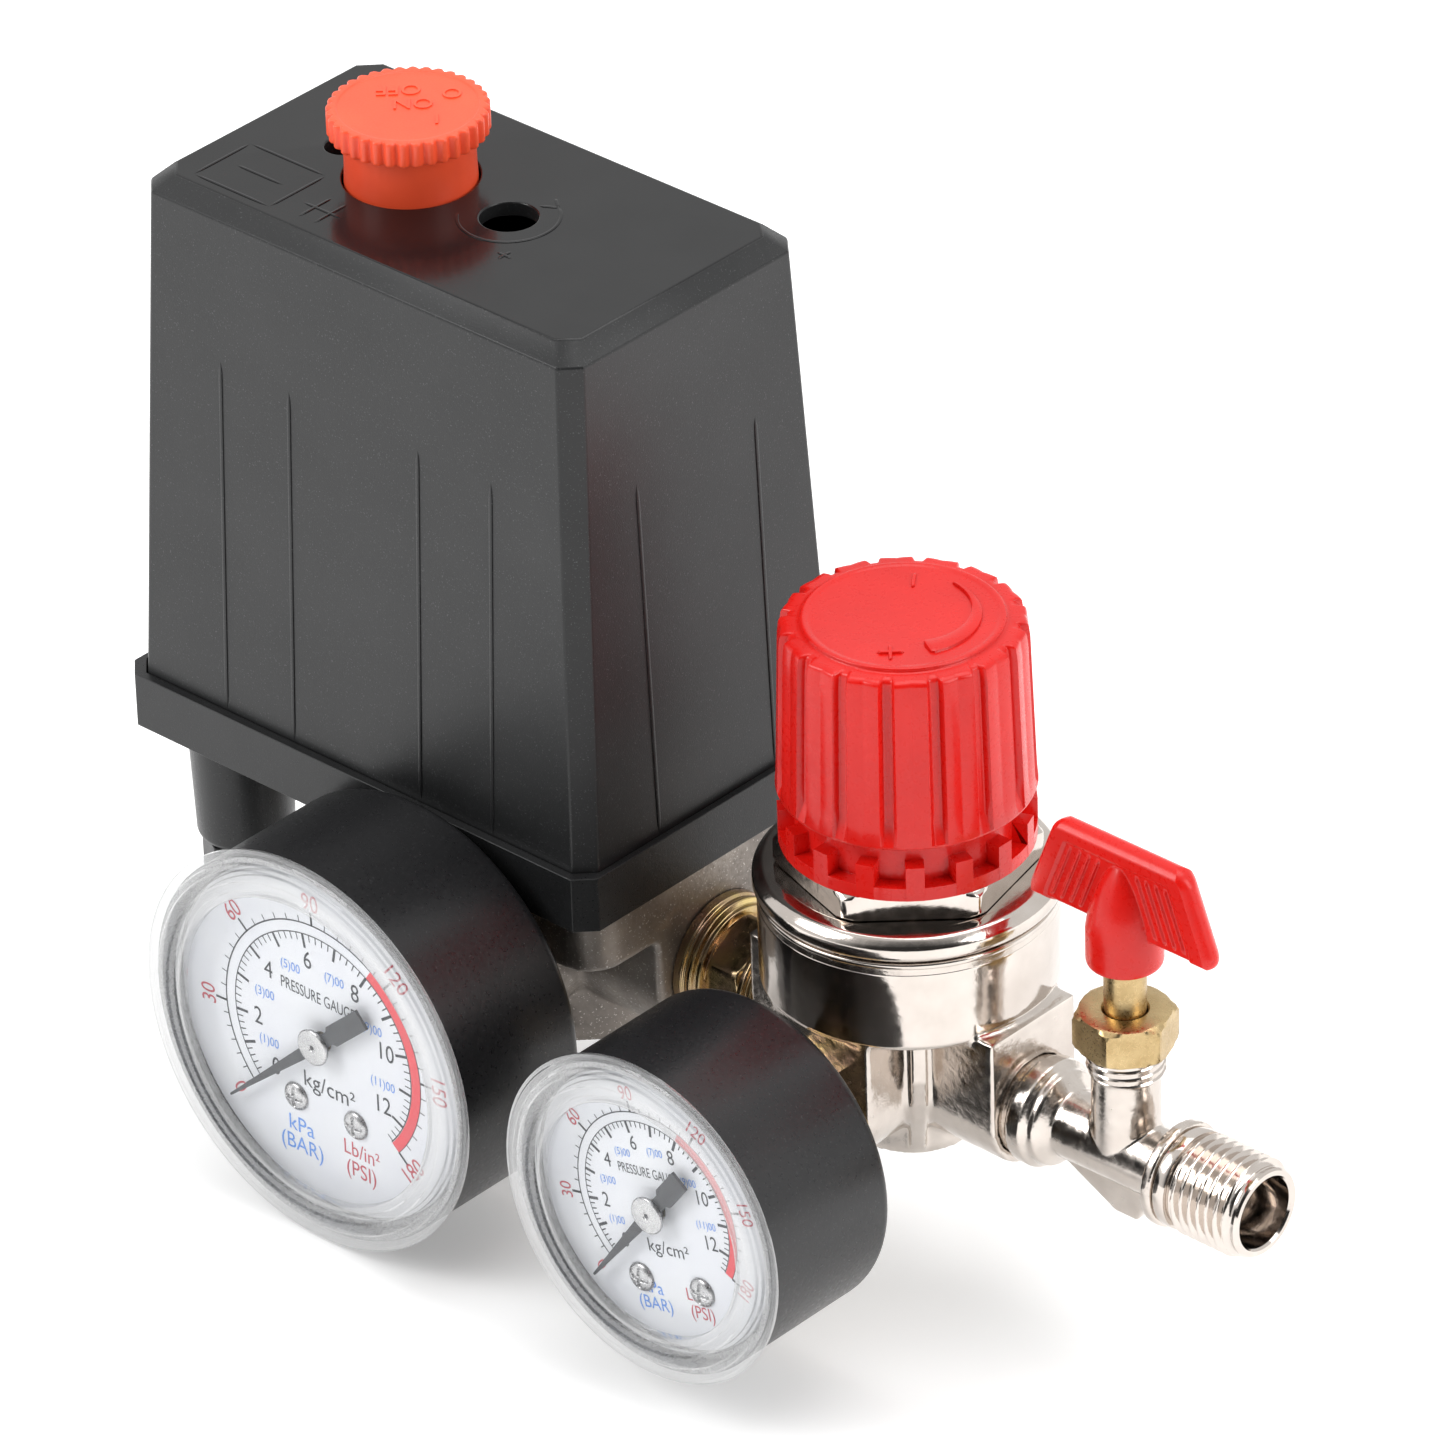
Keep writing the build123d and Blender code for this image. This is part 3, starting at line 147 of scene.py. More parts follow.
def finish(name, tone, deep, patch, gloss, grain, relief, metal=0.0, coat=0.0, spots=None, shine=0.5):
    """Colour mixed from two tones by a broad noise, with a finer noise for gloss and relief.

    patch and grain are the two noises' sizes, gloss the range of roughness, relief the height.
    spots is (colour, how rare, size) for small specks of another colour; on the black plastics these are
    painted glints.
    """
    material = bpy.data.materials.new(name)
    material.use_nodes = True
    tree = material.node_tree
    shader = tree.nodes["Principled BSDF"]
    place = tree.nodes.new("ShaderNodeTexCoord")

    def noise(size, detail):
        field = tree.nodes.new("ShaderNodeTexNoise")
        field.inputs["Scale"].default_value = 1 / (size * MM)
        field.inputs["Detail"].default_value = detail
        tree.links.new(place.outputs["Object"], field.inputs["Vector"])
        return field.outputs["Fac"]

    def between(value, low, high, start=0.3, end=0.7):
        ranged = tree.nodes.new("ShaderNodeMapRange")
        ranged.inputs["From Min"].default_value = start
        ranged.inputs["From Max"].default_value = end
        ranged.inputs["To Min"].default_value = low
        ranged.inputs["To Max"].default_value = high
        tree.links.new(value, ranged.inputs["Value"])
        return ranged.outputs["Result"]

    def blend(share, first, second):
        mix = tree.nodes.new("ShaderNodeMix")
        mix.data_type = "RGBA"
        tree.links.new(share, mix.inputs["Factor"])
        for socket, colour in ((mix.inputs["A"], first), (mix.inputs["B"], second)):
            if isinstance(colour, tuple):
                socket.default_value = (*colour, 1)
            else:
                tree.links.new(colour, socket)
        return mix.outputs["Result"]

    colour = blend(between(noise(patch, 3), 0, 1), tone, deep)
    if spots:
        # Specks of a second colour mixed into the base colour; on the black plastics they are painted
        # glints.
        fleck_and_glint, rare, size = spots
        colour = blend(between(noise(size, 1), 0, 1, rare, rare + 0.06), colour, fleck_and_glint)
    tree.links.new(colour, shader.inputs["Base Color"])
    fine = noise(grain, 4)
    tree.links.new(between(fine, *gloss), shader.inputs["Roughness"])
    bump = tree.nodes.new("ShaderNodeBump")
    bump.inputs["Distance"].default_value = relief * MM
    tree.links.new(fine, bump.inputs["Height"])
    tree.links.new(bump.outputs["Normal"], shader.inputs["Normal"])
    shader.inputs["Metallic"].default_value = metal
    shader.inputs["Specular IOR Level"].default_value = shine
    shader.inputs["Coat Weight"].default_value = coat
    shader.inputs["Coat Roughness"].default_value = 0.12
    return material


def settle(name, mesh, material, body, stands_for=(), sharp=35.0):
    """Smooth shading up to a sharp angle, then the piece joins its body and hides what it stands for."""
    mesh.materials.clear()
    mesh.materials.append(material)
    mesh.shade_smooth()
    mesh.set_sharp_from_angle(angle=math.radians(sharp))
    piece = bpy.data.objects.new(name, mesh)
    scene.collection.objects.link(piece)
    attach(piece, body)
    if stands_for:
        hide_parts(*stands_for)
    return piece


def merged_copy(node):
    """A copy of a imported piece's mesh with its loose triangles joined."""
    mesh = nodes[node].data.copy()
    work = bmesh.new()
    work.from_mesh(mesh)
    bmesh.ops.remove_doubles(work, verts=work.verts, dist=2e-6)
    work.to_mesh(mesh)
    work.free()
    return mesh


def cast(name, mesh, voxel, passes, material, body, stands_for):
    """Rebuild a piece on a fine voxel grid and relax it, so inside corners fill like a casting's."""
    rough = bpy.data.objects.new("rough_casting", mesh)
    scene.collection.objects.link(rough)
    grid = rough.modifiers.new("grid", "REMESH")
    grid.mode = "VOXEL"
    grid.voxel_size = voxel * MM
    relax = rough.modifiers.new("relax", "SMOOTH")
    relax.factor = 0.5
    relax.iterations = passes
    settled = bpy.data.meshes.new_from_object(rough.evaluated_get(bpy.context.evaluated_depsgraph_get()))
    bpy.data.objects.remove(rough)
    return settle(name, settled, material, body, stands_for, sharp=60.0)


raw_casting = finish(
    "raw_casting", (0.40, 0.36, 0.32), (0.24, 0.215, 0.195), 7.0, (0.36, 0.6), 0.6, 0.04, metal=0.85,
    spots=((0.66, 0.62, 0.58), 0.66, 0.3),
)
cast("manifold_casting", merged_copy("manifold"), 0.45, 6, raw_casting, "root", ["manifold"])

# ======================= port plugs, diaphragm and inner mechanism =======================
# Small steel, rubber, brass and plastic parts that sit inside the box, the regulator and the tap.
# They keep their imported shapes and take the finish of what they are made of.

bright_steel = finish(
    "bright_steel", (0.60, 0.60, 0.60), (0.48, 0.48, 0.49), 3.0, (0.2, 0.38), 0.3, 0.006, metal=1.0,
)
moulded_rubber = finish(
    "moulded_rubber", (0.022, 0.022, 0.022), (0.014, 0.014, 0.014), 4.0, (0.6, 0.8), 0.3, 0.01,
)
beige_block = finish("beige_block", (0.55, 0.50, 0.40), (0.47, 0.42, 0.33), 6.0, (0.4, 0.55), 0.4, 0.01)
turned_brass = finish(
    "turned_brass", (0.60, 0.45, 0.235), (0.46, 0.33, 0.16), 2.5, (0.22, 0.42), 0.35, 0.012, metal=1.0
)
rolled_plate = finish(
    "rolled_plate", (0.62, 0.62, 0.64), (0.5, 0.5, 0.52), 5.0, (0.25, 0.4), 0.4, 0.006, metal=1.0,
)

kept_finishes = (
    (bright_steel, ("manifold_plugs", "base_screws", "cover_screw", "switch_frame", "pivot_pins",
                    "pressure_lever", "range_spring", "spring_nut", "range_screw", "reg_spring",
                    "valve_spring", "reg_screw", "spring_seat", "reg_plugs", "terminal_screws",
                    "switch_plunger")),
    (moulded_rubber, ("switch_diaphragm", "gland_grommets", "reg_diaphragm", "stem_packing", "stem_seal")),
    (beige_block, ("terminal_block", "trip_lever")),
    (turned_brass, ("fixed_contacts", "reg_valve")),
    (rolled_plate, ("diaphragm_plate",)),
)
for material, names in kept_finishes:
    for node in names:
        nodes[node].data.materials.clear()
        nodes[node].data.materials.append(material)

# ======================= switch base =======================
# The tray the cover drops into, with two tapered gland barrels below. Black ABS from a mould
# with a fine spark-eroded skin, and slightly rounded edges.


def softened(name, node, width, material, body, steps=3):
    """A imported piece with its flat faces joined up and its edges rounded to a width."""
    mesh = merged_copy(node)
    work = bmesh.new()
    work.from_mesh(mesh)
    bmesh.ops.dissolve_limit(
        work, angle_limit=math.radians(0.6), verts=work.verts, edges=work.edges, delimit={"SEAM"}
    )
    work.to_mesh(mesh)
    work.free()
    piece = settle(name, mesh, material, body, [node], sharp=30.0)
    rounding = piece.modifiers.new("rounding", "BEVEL")
    rounding.width = width * MM
    rounding.segments = steps
    rounding.limit_method = "ANGLE"
    rounding.angle_limit = math.radians(32)
    rounding.harden_normals = True
    return piece


# The lighter specks mixed into this black are painted glints from the textured skin.
base_plastic = finish(
    "base_plastic", (0.016, 0.0165, 0.017), (0.011, 0.0115, 0.012), 9.0, (0.26, 0.42), 0.22, 0.02,
    spots=((0.05, 0.051, 0.053), 0.67, 0.22), shine=0.4,
)
softened("base_tray", "switch_base", 0.45, base_plastic, "root")

# ======================= gland nuts =======================
# Small black nylon hexagon nuts that close the glands on their cables, moulded with soft corners.

gland_nylon = finish(
    "gland_nylon", (0.016, 0.016, 0.017), (0.010, 0.010, 0.011), 5.0, (0.35, 0.5), 0.3, 0.012,
)
softened("gland_nut_pair", "gland_nuts", 0.35, gland_nylon, "root")

# ======================= cover =======================
# A deep box of black ABS that hides the switch, held by one screw down a recess in its top.
# Its sides are textured, its top smoother, and thin moulded lines run down each side.

# The lighter specks mixed into this black are painted glints from the textured skin.
cover_plastic = finish(
    "cover_plastic", (0.019, 0.0195, 0.020), (0.013, 0.0135, 0.014), 14.0, (0.28, 0.44), 0.2, 0.02,
    spots=((0.06, 0.061, 0.063), 0.67, 0.22), shine=0.4,
)
top_plastic = finish(
    "top_plastic", (0.010, 0.0102, 0.0105), (0.007, 0.0072, 0.0075), 8.0, (0.12, 0.22), 0.3, 0.006,
    coat=0.15, shine=0.3,
)
top_face_z = 109.0
cover_box = softened("cover_box", "cover", 0.5, cover_plastic, "root")
cover_box.data.materials.append(top_plastic)
for face in cover_box.data.polygons:
    if face.normal.z > 0.95 and face.center.z > top_face_z * MM:
        face.material_index = 1


def build(name, grids, material, body, stands_for=(), closed_rows=False, sharp=35.0):
    """One mesh from grids of points. Columns close into rings, and a row of equal points is a pole."""
    corners, faces, count = [], [], 0
    for grid in grids:
        rows, columns = grid.shape[:2]
        row = np.arange(rows if closed_rows else rows - 1)[:, None]
        column = np.arange(columns)[None, :]
        above, beside = (row + 1) % rows, (column + 1) % columns
        here, over = row * columns, above * columns
        quads = np.stack([here + column, here + beside, over + beside, over + column], axis=-1)
        corners.append(grid.reshape(-1, 3))
        faces.append(quads.reshape(-1, 4) + count)
        count += rows * columns
    mesh = bpy.data.meshes.new(name)
    mesh.from_pydata(np.concatenate(corners).tolist(), [], np.concatenate(faces).tolist())
    work = bmesh.new()
    work.from_mesh(mesh)
    bmesh.ops.remove_doubles(work, verts=work.verts, dist=1e-6)
    bmesh.ops.recalc_face_normals(work, faces=work.faces)
    work.to_mesh(mesh)
    work.free()
    return settle(name, mesh, material, body, stands_for, sharp)


def bead(path, side, up, half_width, half_height, around=12):
    """A flattened, squared oval section carried along a path, shrinking to a point at both ends."""
    path, side, up = (np.array(v, float) for v in (path, side, up))
    angle = np.linspace(0, 2 * np.pi, around, endpoint=False)[None, :, None]
    along = np.linspace(-1, 1, len(path))[:, None, None]
    size = np.clip((1 - np.abs(along)) * len(path) / 3, 0, 1) ** 0.5
    side = np.broadcast_to(side, path.shape)[:, None, :]
    up = np.broadcast_to(up, path.shape)[:, None, :]
    wide, high = (np.sign(wave) * np.abs(wave) ** 0.6 for wave in (np.cos(angle), np.sin(angle)))
    ring = half_width * wide * side + half_height * high * up
    return (path[:, None, :] + size * ring) * MM


def between_points(first, last, count=16):
    """Evenly spaced points on a straight line."""
    share = np.linspace(0, 1, count)[:, None]
    return np.array(first, float) * (1 - share) + np.array(last, float) * share


tray_z = 38.3
shoulder_z = 107.5
cover_top = 109.8
housing_x = -14.1
line_top = 88.0
foot_half_width = 24.15
head_half_width = 20.8
foot_half_length = 39.15
head_half_length = 36.7


def face_reach(z, foot, head):
    """How far a sloping side stands from the box's middle at one level."""
    return foot + (head - foot) * (z - tray_z) / (shoulder_z - tray_z)


side_lines = []
for sign in (-1, 1):
    for x in (-36.8, -25.0, -3.0, 9.3):
        ends = [(x, sign * face_reach(z, foot_half_width, head_half_width), z) for z in (tray_z, line_top)]
        side_lines.append(bead(between_points(*ends, 40), (1, 0, 0), (0, sign, 0), 0.28, 0.16))
    for y in (-10.7, 10.7):
        ends = [
            (housing_x + sign * face_reach(z, foot_half_length, head_half_length), y, z)
            for z in (tray_z, line_top)
        ]
        side_lines.append(bead(between_points(*ends, 40), (0, 1, 0), (sign, 0, 0), 0.28, 0.16))
build("cover_side_lines", side_lines, cover_plastic, "root")


# moulded marks on the top: a plain frame, a clamp-like sign, and a turn arrow round the adjuster
def flat_line(*corners):
    """A low bead along a polyline on the cover's top."""
    return [
        bead(between_points((*a, cover_top), (*b, cover_top), 10), (-(b[1] - a[1]) / math.dist(a, b),
             (b[0] - a[0]) / math.dist(a, b), 0), (0, 0, 1), 0.22, 0.1)
        for a, b in zip(corners, corners[1:])
    ]


def flat_arc(centre, radius, start, end, half_width=0.22):
    """A low bead along an arc on the cover's top, with its angles in degrees."""
    angle = np.radians(np.linspace(start, end, 40))
    out = np.stack([np.cos(angle), np.sin(angle), 0 * angle], axis=1)
    return [bead(np.array([*centre, cover_top]) + radius * out, out, (0, 0, 1), half_width, 0.1)]


top_marks = flat_line((-44.5, -17.0), (-44.5, -7.0), (-31.5, -7.0), (-31.5, -17.0), (-44.5, -17.0))
top_marks += flat_line((-42.0, -12.0), (-34.0, -12.0))
top_marks += flat_line((-27.0, -16.5), (-27.0, -10.5)) + flat_line((-24.4, -16.5), (-24.4, -10.5))
top_marks += flat_line((-29.0, -13.5), (-22.4, -13.5))
top_marks += flat_arc((-7.0, 0.0), 6.4, -150, 60)
top_marks += flat_line((-5.6, 6.9), (-3.8, 5.5), (-5.9, 4.3))
top_marks += flat_line((-2.0, -7.4), (0.4, -7.4)) + flat_line((-0.8, -8.6), (-0.8, -6.2))
build("cover_top_marks", top_marks, top_plastic, "root")

# ======================= on/off knob =======================
# An orange-red push-pull button, moulded in one piece: a fluted disc on a smooth stem, with a
# round rod below that tips the contacts. Raised letters say which way it works.


def rounded(outline, size, steps=5):
    """An outline with every inner corner turned to a curve that starts size before it."""
    outline = np.array(outline, float)
    points = [outline[:1]]
    share = np.linspace(0, 1, steps)[:, None]
    for before, corner, after in zip(outline, outline[1:], outline[2:]):
        back, on = before - corner, after - corner
        start = corner + back * min(0.45, size / max(np.linalg.norm(back), 1e-9))
        end = corner + on * min(0.45, size / max(np.linalg.norm(on), 1e-9))
        points.append((1 - share) ** 2 * start + 2 * share * (1 - share) * corner + share**2 * end)
    points.append(outline[-1:])
    return np.concatenate(points)


def turned(outline, centre, axis="z", sides=144, radius_of=None):
    """An outline of (radius, distance along) carried round an axis; radius_of reshapes each ring."""
    outline = np.array(outline, float)
    angle = np.linspace(0, 2 * np.pi, sides, endpoint=False)[None, :]
    radius = outline[:, :1] + 0 * angle
    along = outline[:, 1:] + 0 * angle
    if radius_of is not None:
        radius = radius_of(radius, along, angle)
    ring = {
        "x": (along, radius * np.cos(angle), radius * np.sin(angle)),
        "y": (radius * np.cos(angle), along, radius * np.sin(angle)),
        "z": (radius * np.cos(angle), radius * np.sin(angle), along),
    }[axis]
    return (np.stack(ring, axis=-1) + np.array(centre, float)) * MM


knob_x = -23.6
disc_z = 116.2
disc_top = 119.6
disc_r = 10.2
knob_flutes = 36


def fluted(radius, along, angle):
    """Round flutes cut into the disc's rim, fading out over the top and bottom edges."""
    on_rim = np.clip((radius - disc_r + 0.9) / 0.6, 0, 1) * (along > disc_z - 0.1)
    return radius - 0.55 * on_rim * (0.5 - 0.5 * np.cos(knob_flutes * angle)) ** 1.5


orange_plastic = finish(
    "orange_plastic", (1.0, 0.105, 0.035), (0.93, 0.085, 0.028), 9.0, (0.34, 0.46), 0.3, 0.008, coat=0.12
)
rod_outline = [
    (0, 64.05), (4.0, 64.05), (4.0, 107.8), (8.4, 107.8), (8.4, 108.2), (8.25, 112.0), (8.25, disc_z)
]
disc_outline = [(8.25, disc_z), (disc_r, disc_z), (disc_r, disc_top)]
crown_outline = [(disc_r, disc_top), (8.9, disc_top), (8.75, disc_top - 0.18), (0.0, disc_top - 0.18)]
knob_outline = rounded(rod_outline + disc_outline[1:] + crown_outline[1:], 0.45)
build(
    "on_off_button", [turned(knob_outline, (knob_x, 0, 0), sides=432, radius_of=fluted)],
    orange_plastic, "knob", ["on_off_knob"],
)


def lettering(name, entries, place, material, body, relief=0.0):
    """Letters as one mesh, laid on the face that place maps to.

    Each entry is (words, height, across, up, tilt, narrowing).
    """
    sheet = bmesh.new()
    for words, height, across, up, tilt, narrow in entries:
        curve = bpy.data.curves.new("letters", "FONT")
        curve.body = words
        curve.align_x = "CENTER"
        curve.align_y = "CENTER"
        curve.size = height * MM / 0.72
        curve.extrude = relief * MM
        curve.resolution_u = 4
        holder = bpy.data.objects.new("letters", curve)
        scene.collection.objects.link(holder)
        bpy.context.view_layer.update()
        flat = bpy.data.meshes.new_from_object(holder.evaluated_get(bpy.context.evaluated_depsgraph_get()))
        flat.transform(
            place
            @ Matrix.Translation((across * MM, up * MM, 0))
            @ Matrix.Rotation(math.radians(tilt), 4, "Z")
            @ Matrix.Diagonal((narrow, 1, 1, 1))
        )
        sheet.from_mesh(flat)
        bpy.data.objects.remove(holder)
        bpy.data.curves.remove(curve)
        bpy.data.meshes.remove(flat)
    mesh = bpy.data.meshes.new(name)
    sheet.to_mesh(mesh)
    sheet.free()
    return settle(name, mesh, material, body)


button_top = Matrix.Translation((knob_x * MM, 0, (disc_top - 0.1) * MM)) @ Matrix.Rotation(
    math.radians(43), 4, "Z"
)
lettering(
    "button_letters",
    [("OFF", 2.6, -1.2, 4.2, 180, 0.9), ("ON", 2.6, 0.6, 0.6, 180, 0.9), ("O", 2.6, 5.4, 3.0, 180, 0.9),
     ("I", 2.6, 3.6, -3.4, 180, 1.0)],
    button_top, orange_plastic, "knob", relief=0.09,
)

# ======================= nipple =======================
# A turned steel nipple, yellow passivated, that joins the manifold to the regulator: stepped
# collars at each end of a hexagon whose corners are turned off.

port_z = 15.0
yellow_zinc = finish(
    "yellow_zinc", (0.60, 0.46, 0.20), (0.46, 0.31, 0.24), 3.2, (0.14, 0.28), 0.8, 0.012, metal=1.0
)


def hexagon(flats, turn=0.0):
    """Distance from the middle of a hexagon to its edge, by angle, for a width across flats."""

    def reach(angle):
        within = (angle + math.radians(turn)) % (np.pi / 3) - np.pi / 6
        return flats / 2 / np.cos(within)

    return reach


nipple_hex = hexagon(14.0, 30.0)


def nipple_section(radius, along, angle):
    """The outline's own radius, held inside the hexagon over its length."""
    return np.where((along > 28.25) & (along < 34.25), np.minimum(radius, nipple_hex(angle)), radius)


nipple_outline = rounded(
    [
        (3.0, 16.0), (6.4, 16.0), (6.55, 24.5), (8.9, 24.6), (8.9, 25.9), (8.5, 26.1),
        (8.5, 26.5), (8.75, 26.7), (8.75, 27.3), (8.0, 27.5), (8.0, 28.2), (7.0, 28.26),
        (7.75, 28.9), (7.9, 29.6), (7.9, 32.8), (7.75, 33.6), (7.0, 34.2), (7.9, 34.4),
        (8.4, 34.6), (8.4, 35.4), (7.9, 35.6), (7.9, 36.0), (8.3, 36.2), (8.3, 36.8),
        (6.5, 36.85), (6.4, 45.7), (3.0, 45.7),
    ],
    0.18, 4,
)
build(
    "yellow_nipple", [turned(nipple_outline, (0, 0, port_z), "x", 144, nipple_section)],
    yellow_zinc, "root", ["hex_nipple"], closed_rows=True,
)

# ======================= regulator body =======================
# A nickel-plated die casting: a round bowl for the diaphragm on four ported arms, with webs
# between them and a hub below. The bowl is machined smooth, and the rest shows the casting.

reg_x = 56.8
nickel_cast = finish(
    "nickel_cast", (0.70, 0.64, 0.585), (0.60, 0.54, 0.49), 4.0, (0.10, 0.28), 1.3, 0.06, metal=1.0
)
nickel_smooth = finish(
    "nickel_smooth", (0.70, 0.64, 0.59), (0.61, 0.55, 0.50), 5.0, (0.07, 0.17), 1.6, 0.03, metal=1.0
)
cast("regulator_casting", merged_copy("reg_body"), 0.4, 5, nickel_cast, "root", ["reg_body"])
bowl_outline = rounded(
    [
        (17.2, 26.45), (18.3, 26.4), (18.75, 27.1), (18.75, 37.6), (18.45, 37.8), (18.45, 38.3),
        (18.85, 38.5), (18.85, 39.2), (17.2, 39.22),
    ],
    0.3, 4,
)
build(
    "regulator_bowl", [turned(bowl_outline, (reg_x, 0, 0), sides=192)], nickel_smooth, "root",
    closed_rows=True,
)

# ======================= bonnet =======================
# The nickel-plated cap that clamps the diaphragm: a rounded bead, then a spanner hexagon with
# its corners turned off, then the neck that the lock ring and the knob sit on.

bonnet_hex = hexagon(29.0, 30.0 - 13.0)
hex_foot = 42.9
hex_top = 46.5


def bonnet_section(radius, along, angle):
    """The outline's own radius, held inside the hexagon above the bead."""
    within = (along > hex_foot - 0.01) & (along < hex_top + 0.01)
    return np.where(within, np.minimum(radius, bonnet_hex(angle)), radius)


bonnet_outline = np.concatenate(
    [
        rounded([(9.6, 39.3), (18.4, 39.3), (19.3, 40.0), (19.3, 41.6), (18.2, 42.75), (16.4, 42.8)], 0.5),
        rounded(
            [
                (16.4, 42.82), (14.1, 42.84), (14.1, 42.95), (16.1, 43.0), (16.6, 43.4), (16.6, 45.9),
                (15.8, 46.5), (12.0, 46.5), (12.0, 62.0), (3.95, 62.0), (3.95, 59.0), (9.6, 59.0),
            ],
            0.15, 3,
        ),
    ]
)
build(
    "bonnet_cap", [turned(bonnet_outline, (reg_x, 0, 0), sides=288, radius_of=bonnet_section)],
    nickel_smooth, "root", ["bonnet"], closed_rows=True,
)

# ======================= lock ring =======================
# A red plastic ring pressed on the neck. Its blocks catch the knob's inner ribs when the knob is
# pushed down, which holds the setting.

red_plastic = finish(
    "red_plastic", (0.72, 0.010, 0.006), (0.64, 0.008, 0.005), 10.0, (0.24, 0.36), 0.8, 0.006,
    coat=0.22, shine=0.3,
)
softened("lock_ring_blocks", "lock_ring", 0.25, red_plastic, "root")

# ======================= regulator knob =======================
# A glossy red cap that sets the outlet pressure. Sixteen narrow grooves run up its side and
# scallop its top edge, and a raised disc carries plus, minus and a swelling arrow.

skirt_z = 53.8
crown_z = 77.2
skirt_r = 16.1
crown_r = 15.35
knob_mean_r = 15.5
knob_grooves = 16
groove_half_width = 0.8


def grooved(radius, along, angle):
    """Narrow round-bottomed grooves in the outer wall, deepest at the top edge, with bowed panels."""
    pitch = 2 * np.pi / knob_grooves
    offset = (angle % pitch - pitch / 2) * knob_mean_r
    outer = np.clip((radius - 13.6) / 0.7, 0, 1) * (along > skirt_z + 0.9)
    groove = np.exp(-((offset / groove_half_width) ** 8))
    bow = 0.3 * (1 - (np.abs(offset) / (pitch * knob_mean_r / 2)) ** 2)
    return radius - outer * (1.0 * groove + 0.3 - bow)


knob_side = [
    (skirt_r + (crown_r - skirt_r) * share, skirt_z + (crown_z - skirt_z) * share)
    for share in np.linspace(0.04, 0.9, 12)
]
regulator_outline = np.concatenate(
    [
        rounded(
            [(0.0, 75.0), (12.6, 75.0), (12.6, 64.5), (14.2, 64.2), (14.2, skirt_z), (15.9, skirt_z),
             (skirt_r, 54.3)],
            0.2,
        ),
        np.array(knob_side[1:]),
        rounded(
            [knob_side[-1], (15.2, 76.6), (14.6, 76.95), (12.6, 76.95), (12.5, 77.5), (11.9, 77.5)],
            0.45, 8,
        ),
        rounded([(11.9, 77.5), (11.5, 77.35), (0.0, 77.3)], 0.2, 3)[1:],
    ]
)
build(
    "regulator_cap", [turned(regulator_outline, (reg_x, 0, 0), sides=480, radius_of=grooved)],
    red_plastic, "reg_knob", ["regulator_knob"],
)
cap_marks = []
arrow_angle = np.radians(np.linspace(-29, 93, 60))
arrow_out = np.stack([np.cos(arrow_angle), np.sin(arrow_angle), 0 * arrow_angle], axis=1)
narrowing = np.linspace(1, 0.06, 60)[:, None]
arrow_path = np.array([reg_x, 0, 77.35]) + arrow_out * (9.6 - 1.6 * narrowing)
arrow = bead(arrow_path, arrow_out * narrowing, (0, 0, 1), 1.6, 0.42)
cap_marks.append(arrow)
plus_place = (reg_x + 4.5, -7.4)
minus_place = (reg_x - 4.5, 7.0)
for centre, way in ((plus_place, (0.73, 0.68)), (plus_place, (-0.68, 0.73)), (minus_place, (-0.6, 0.8))):
    ends = [(centre[0] + k * 1.7 * way[0], centre[1] + k * 1.7 * way[1], 77.33) for k in (-1, 1)]
    cap_marks.append(bead(between_points(*ends, 12), (-way[1], way[0], 0), (0, 0, 1), 0.26, 0.32))
build("cap_marks", cap_marks, red_plastic, "reg_knob")

# ======================= tap body =======================
# A slim nickel-plated casting with stepped collars, a boss that rises for the stem, a spanner
# fin below, and a threaded spout. Casting marks and a soft saddle show where the pipes meet.

tap_x = 91.7
spout_start = 101.0
spout_end = 113.8
thread_crest = 6.58
thread_root = 5.75
thread_pitch = 1.337
tap_mesh = merged_copy("tap_body")
tap_points = np.empty(len(tap_mesh.vertices) * 3, np.float32)
tap_mesh.vertices.foreach_get("co", tap_points)
tap_points = tap_points.reshape(-1, 3)
tap_radius = np.hypot(tap_points[:, 1], tap_points[:, 2] - port_z * MM)
on_thread = (tap_points[:, 0] > (spout_start - 0.1) * MM) & (tap_radius > 6.3 * MM)
thinner = np.where(on_thread & (tap_radius < 6.75 * MM), 5.5 * MM / np.maximum(tap_radius, 1e-6), 1.0)
tap_points[:, 1] *= thinner
tap_points[:, 2] = (tap_points[:, 2] - port_z * MM) * thinner + port_z * MM
tap_points[:, 0] = np.minimum(tap_points[:, 0], (spout_start + 3.0) * MM)
tap_mesh.vertices.foreach_set("co", tap_points.ravel())
cast("tap_casting", tap_mesh, 0.24, 7, nickel_cast, "root", ["tap_body"])


def spout_thread(radius, along, angle):
    """A V thread wound round the spout: the depth follows the angle and the distance together."""
    turn = (along / thread_pitch - angle / (2 * np.pi)) % 1.0
    ridge = np.clip(1.35 * (1 - np.abs(2 * turn - 1)) - 0.15, 0, 1)
    fade = np.clip((along - spout_start - 2.1) / 0.5, 0, 1) * np.clip((spout_end - 0.9 - along) / 0.9, 0, 1)
    depth = (thread_crest - thread_root) * (1 - ridge * fade)
    return np.where((radius > 6.4) & (along > spout_start + 1.9), radius - depth, radius)


thread_rows = [(thread_crest, z) for z in np.linspace(spout_start + 1.95, spout_end - 0.75, 140)]
spout_outline = np.array(
    [(4.7, spout_start), (6.0, spout_start), (6.45, spout_start + 0.25), (6.5, spout_start + 0.5),
     (6.5, spout_start + 1.7), (6.4, spout_start + 1.9)] + thread_rows
    + [(5.85, spout_end - 0.3), (5.6, spout_end), (4.95, spout_end), (4.7, spout_end - 0.3), (4.66, 106.5),
       (3.7, 106.2), (3.6, 105.6), (3.6, 104.0)]
)
build(
    "spout_thread", [turned(spout_outline, (0, 0, port_z), "x", 144, spout_thread)],
    nickel_smooth, "root", closed_rows=True,
)
boss_rows = [(4.95, z) for z in np.linspace(26.9, 30.2, 40)]


